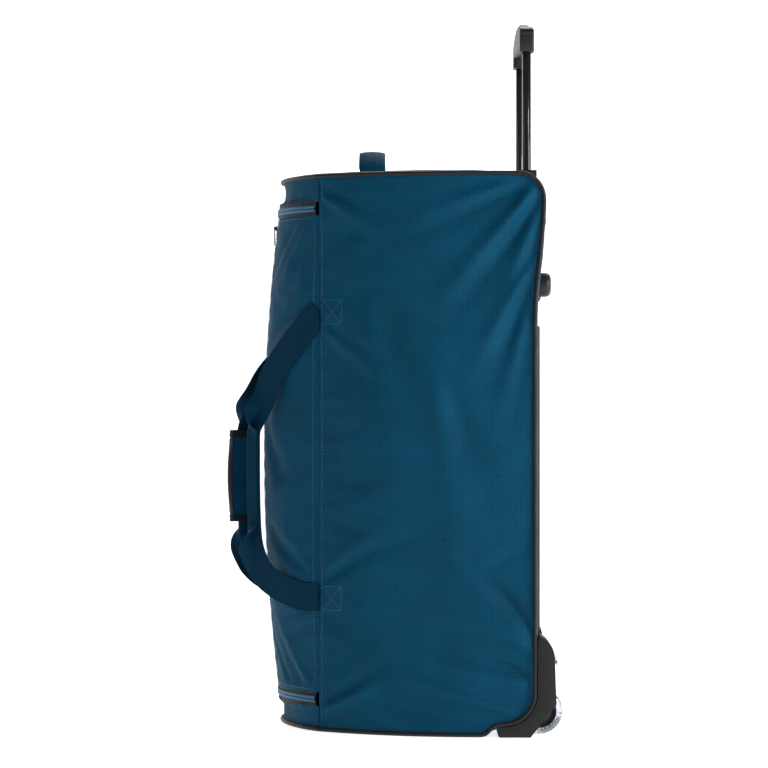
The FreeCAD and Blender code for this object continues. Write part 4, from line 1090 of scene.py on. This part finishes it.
haul_pad = woven_sheet("haul_pad_cover", 40, 60, pad_place)
close_roll(haul_pad)
settle([haul_pad], 0.006, 0.0012, 14)
face_out(haul_pad, Vector((0, HAUL_Y, BAG_HIGH + 0.02)))
thicken(haul_pad, 0.0014, -1.0, 1)
haul_pad.data.materials.append(shell_cloth)
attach(haul_pad, "bag")
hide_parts("haul_handle_pad")


# ---------------------------------------------------------------- trolley
# Two-stage steel tubes, painted gloss black, slide in bushes under a moulded bezel. The grip is two
# glass-filled nylon shells with a spark-eroded grain, and a light grey release button in its middle.
def soften(node, width, segments=2):
    """Round the sharp edges of a moulded CAD piece that is kept."""
    piece = nodes[node]
    weld = piece.modifiers.new("Weld", "WELD")
    weld.merge_threshold = 0.00002
    edge = piece.modifiers.new("Bevel", "BEVEL")
    edge.width = width
    edge.segments = segments
    edge.limit_method = "ANGLE"
    edge.angle_limit = math.radians(40)
    edge.harden_normals = False
    select_only(piece)
    bpy.ops.object.shade_smooth_by_angle(angle=math.radians(35))
    return piece


def moulded(name, low, high, rough, grain_mm, depth):
    """Moulded plastic: slight colour drift, a fine eroded grain and scuffs that dull it."""
    material, tree, shader = finish_of(name, Specular_IOR_Level=0.45, IOR=1.5)
    place = add(tree, "TexCoord").outputs["Object"]
    drift = add(tree, "TexNoise", {"Vector": place, "Scale": 18.0, "Detail": 4.0})
    grain = add(tree, "TexNoise", {"Vector": place, "Scale": 1000 / grain_mm, "Detail": 3.0})
    two_tone(tree, shader, drift.outputs["Fac"], low, high)
    dull = add(tree, "MapRange",
               {"Value": drift.outputs["Fac"], "To Min": rough - 0.07, "To Max": rough + 0.09})
    tree.links.new(dull.outputs[0], shader.inputs["Roughness"])
    relief(tree, shader, grain.outputs["Fac"], 0.5, depth)
    return material


def dress(material, slot, *names):
    """Give kept CAD nodes their material."""
    for node in names:
        piece = nodes[node]
        piece.data.materials.clear()
        piece.data.materials.append(material)


black_plastic = moulded("grained_nylon", "#18181A", "#232326", 0.46, 1.3, 0.00012)
guard_plastic = moulded("grained_polypropylene", "#08080A", "#0E0E10", 0.60, 1.6, 0.00016)
button_plastic = moulded("grey_abs", "#8F9290", "#A3A6A3", 0.38, 1.5, 0.00005)

tube_paint, tree, shader = finish_of("gloss_painted_steel", Roughness=0.22, Coat_Weight=0.5,
                                     Coat_Roughness=0.08,
                                     Specular_IOR_Level=0.5)
place = add(tree, "TexCoord").outputs["Object"]
draw = add(tree, "Mapping", {"Vector": place, "Scale": (900.0, 900.0, 6.0)})
scratch = add(tree, "TexNoise", {"Vector": draw.outputs[0], "Scale": 1.0, "Detail": 3.0})
two_tone(tree, shader, scratch.outputs["Fac"], "#0E0E10", "#1C1C1F")
relief(tree, shader, scratch.outputs["Fac"], 0.15, 0.00005)

steel, tree, shader = finish_of("zinc_plated_steel", Metallic=1.0, Roughness=0.3)
place = add(tree, "TexCoord").outputs["Object"]
brush = add(tree, "TexNoise", {"Vector": place, "Scale": 700.0, "Detail": 3.0})
two_tone(tree, shader, brush.outputs["Fac"], "#9A9CA0", "#C4C6CA")
worn = add(tree, "MapRange", {"Value": brush.outputs["Fac"], "To Min": 0.22, "To Max": 0.42})
tree.links.new(worn.outputs[0], shader.inputs["Roughness"])

for node in ("grip_upper_shell", "grip_lower_shell"):
    soften(node, 0.0012)
soften("release_button", 0.0005)
soften("trolley_bezel", 0.0012)
for node in ("inner_tube_right", "inner_tube_left", "outer_tube_right", "outer_tube_left"):
    soften(node, 0.0003, 1)
dress(black_plastic, "hard_plastic", "grip_upper_shell", "grip_lower_shell", "trolley_bezel", "back_board",
      "trolley_lower_bracket", "latch_block_right", "latch_block_left", "button_yoke")
dress(button_plastic, "button", "release_button")
dress(tube_paint, "tube", "inner_tube_right", "inner_tube_left", "outer_tube_right", "outer_tube_left")
dress(steel, "steel", "latch_pin_right", "latch_pin_left", "latch_spring_right", "latch_spring_left",
      "push_rod_right", "push_rod_left", "button_spring")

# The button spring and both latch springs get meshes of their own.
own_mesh(nodes["button_spring"])
for side, sign in (("right", 1), ("left", -1)):
    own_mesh(nodes[f"latch_spring_{side}"])


# ---------------------------------------------------------------- wheels and guards
# Each bottom corner is a moulded polypropylene housing, screwed through the back. Its wheel is a clear cast
# urethane tyre on a black hub, with two bearings on a steel axle.
for node in ("wheel_housing_right", "wheel_housing_left"):
    soften(node, 0.0016, 3)
for node in ("wheel_hub_right", "wheel_hub_left"):
    soften(node, 0.0006)
dress(guard_plastic, "hard_plastic", "wheel_housing_right", "wheel_housing_left")
dress(black_plastic, "hard_plastic", "wheel_hub_right", "wheel_hub_left")
dress(steel, "steel", "axle_right", "axle_left", "wheel_bearings_right", "wheel_bearings_left",
      "housing_screws", "foot_screws")

urethane, tree, shader = finish_of("clear_urethane", Roughness=0.08, IOR=1.49, Transmission_Weight=0.85,
                                   Specular_IOR_Level=0.6, Coat_Weight=0.4, Coat_Roughness=0.05)
place = add(tree, "TexCoord").outputs["Object"]
swirl = add(tree, "TexNoise", {"Vector": place, "Scale": 95.0, "Detail": 3.0, "Distortion": 1.2})
two_tone(tree, shader, swirl.outputs["Fac"], "#C9CEE0", "#F4F6FA")
relief(tree, shader, swirl.outputs["Fac"], 0.6, 0.0012)

WHEEL_X = 0.154
WHEEL_Y = 0.200
WHEEL_Z = 0.032
TYRE_SECTION = [(-0.0100, 0.0225), (-0.0112, 0.0240), (-0.0113, 0.0262), (-0.0098, 0.0290),
                (-0.0070, 0.0309),
                (-0.0036, 0.03175), (0.0, 0.0320), (0.0036, 0.03175), (0.0070, 0.0309), (0.0098, 0.0290),
                (0.0113, 0.0262), (0.0112, 0.0240), (0.0100, 0.0225)]
for side, sign in (("right", 1), ("left", -1)):
    def tyre_place(c, r, sign=sign):
        k = min(int(c * 12), 11)
        share = c * 12 - k
        across = TYRE_SECTION[k][0] * (1 - share) + TYRE_SECTION[k + 1][0] * share
        radius = TYRE_SECTION[k][1] * (1 - share) + TYRE_SECTION[k + 1][1] * share
        turn = 2 * math.pi * r
        radius -= 0.00035 * (0.5 + 0.5 * math.cos(turn * 40)) * (1 if abs(across) < 0.009 else 0)
        return (Vector((sign * WHEEL_X + across, WHEEL_Y + radius * math.cos(turn),
                        WHEEL_Z + radius * math.sin(turn))), c * 0.04, r * 0.2)
    tyre = woven_sheet(f"clear_tyre_{side}", 24, 240, tyre_place)
    select_only(tyre)
    bpy.ops.object.mode_set(mode="EDIT")
    bpy.ops.mesh.select_all(action="SELECT")
    bpy.ops.mesh.remove_doubles(threshold=0.00002)
    bpy.ops.object.mode_set(mode="OBJECT")
    bpy.ops.object.mode_set(mode="EDIT")
    bpy.ops.mesh.select_mode(type="EDGE")
    bpy.ops.mesh.select_all(action="DESELECT")
    bpy.ops.mesh.select_non_manifold()
    bpy.ops.mesh.bridge_edge_loops()
    bpy.ops.mesh.select_all(action="SELECT")
    bpy.ops.mesh.normals_make_consistent(inside=False)
    bpy.ops.object.mode_set(mode="OBJECT")
    bpy.ops.object.shade_smooth_by_angle(angle=math.radians(40))
    tyre.data.materials.append(urethane)
    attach(tyre, f"wheel_{side}")
    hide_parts(f"wheel_tyre_{side}")


# ---------------------------------------------------------------- back protection and pulls
# Two moulded rails and two rubber-like feet keep the back off kerbs. The zip sliders and pulls are die-cast
# and painted black.
for node in ("skid_rail_right", "skid_rail_left", "back_feet"):
    soften(node, 0.0020, 3)
for node in ("zip_sliders", "zip_pull_upper", "zip_pull_centre", "zip_pull_lower"):
    soften(node, 0.0003)
dress(black_plastic, "hard_plastic", "skid_rail_right", "skid_rail_left", "back_feet")
painted_zinc, tree, shader = finish_of("painted_zinc", Roughness=0.35, Metallic=0.6)
speck = add(tree, "TexNoise", {"Vector": add(tree, "TexCoord").outputs["Object"], "Scale": 500.0})
two_tone(tree, shader, speck.outputs["Fac"], "#151517", "#2A2A2D")
dress(painted_zinc, "zip", "zip_sliders", "zip_pull_upper", "zip_pull_centre", "zip_pull_lower")

# ---------------------------------------------------------------- sizes and close
low, high = cad_box
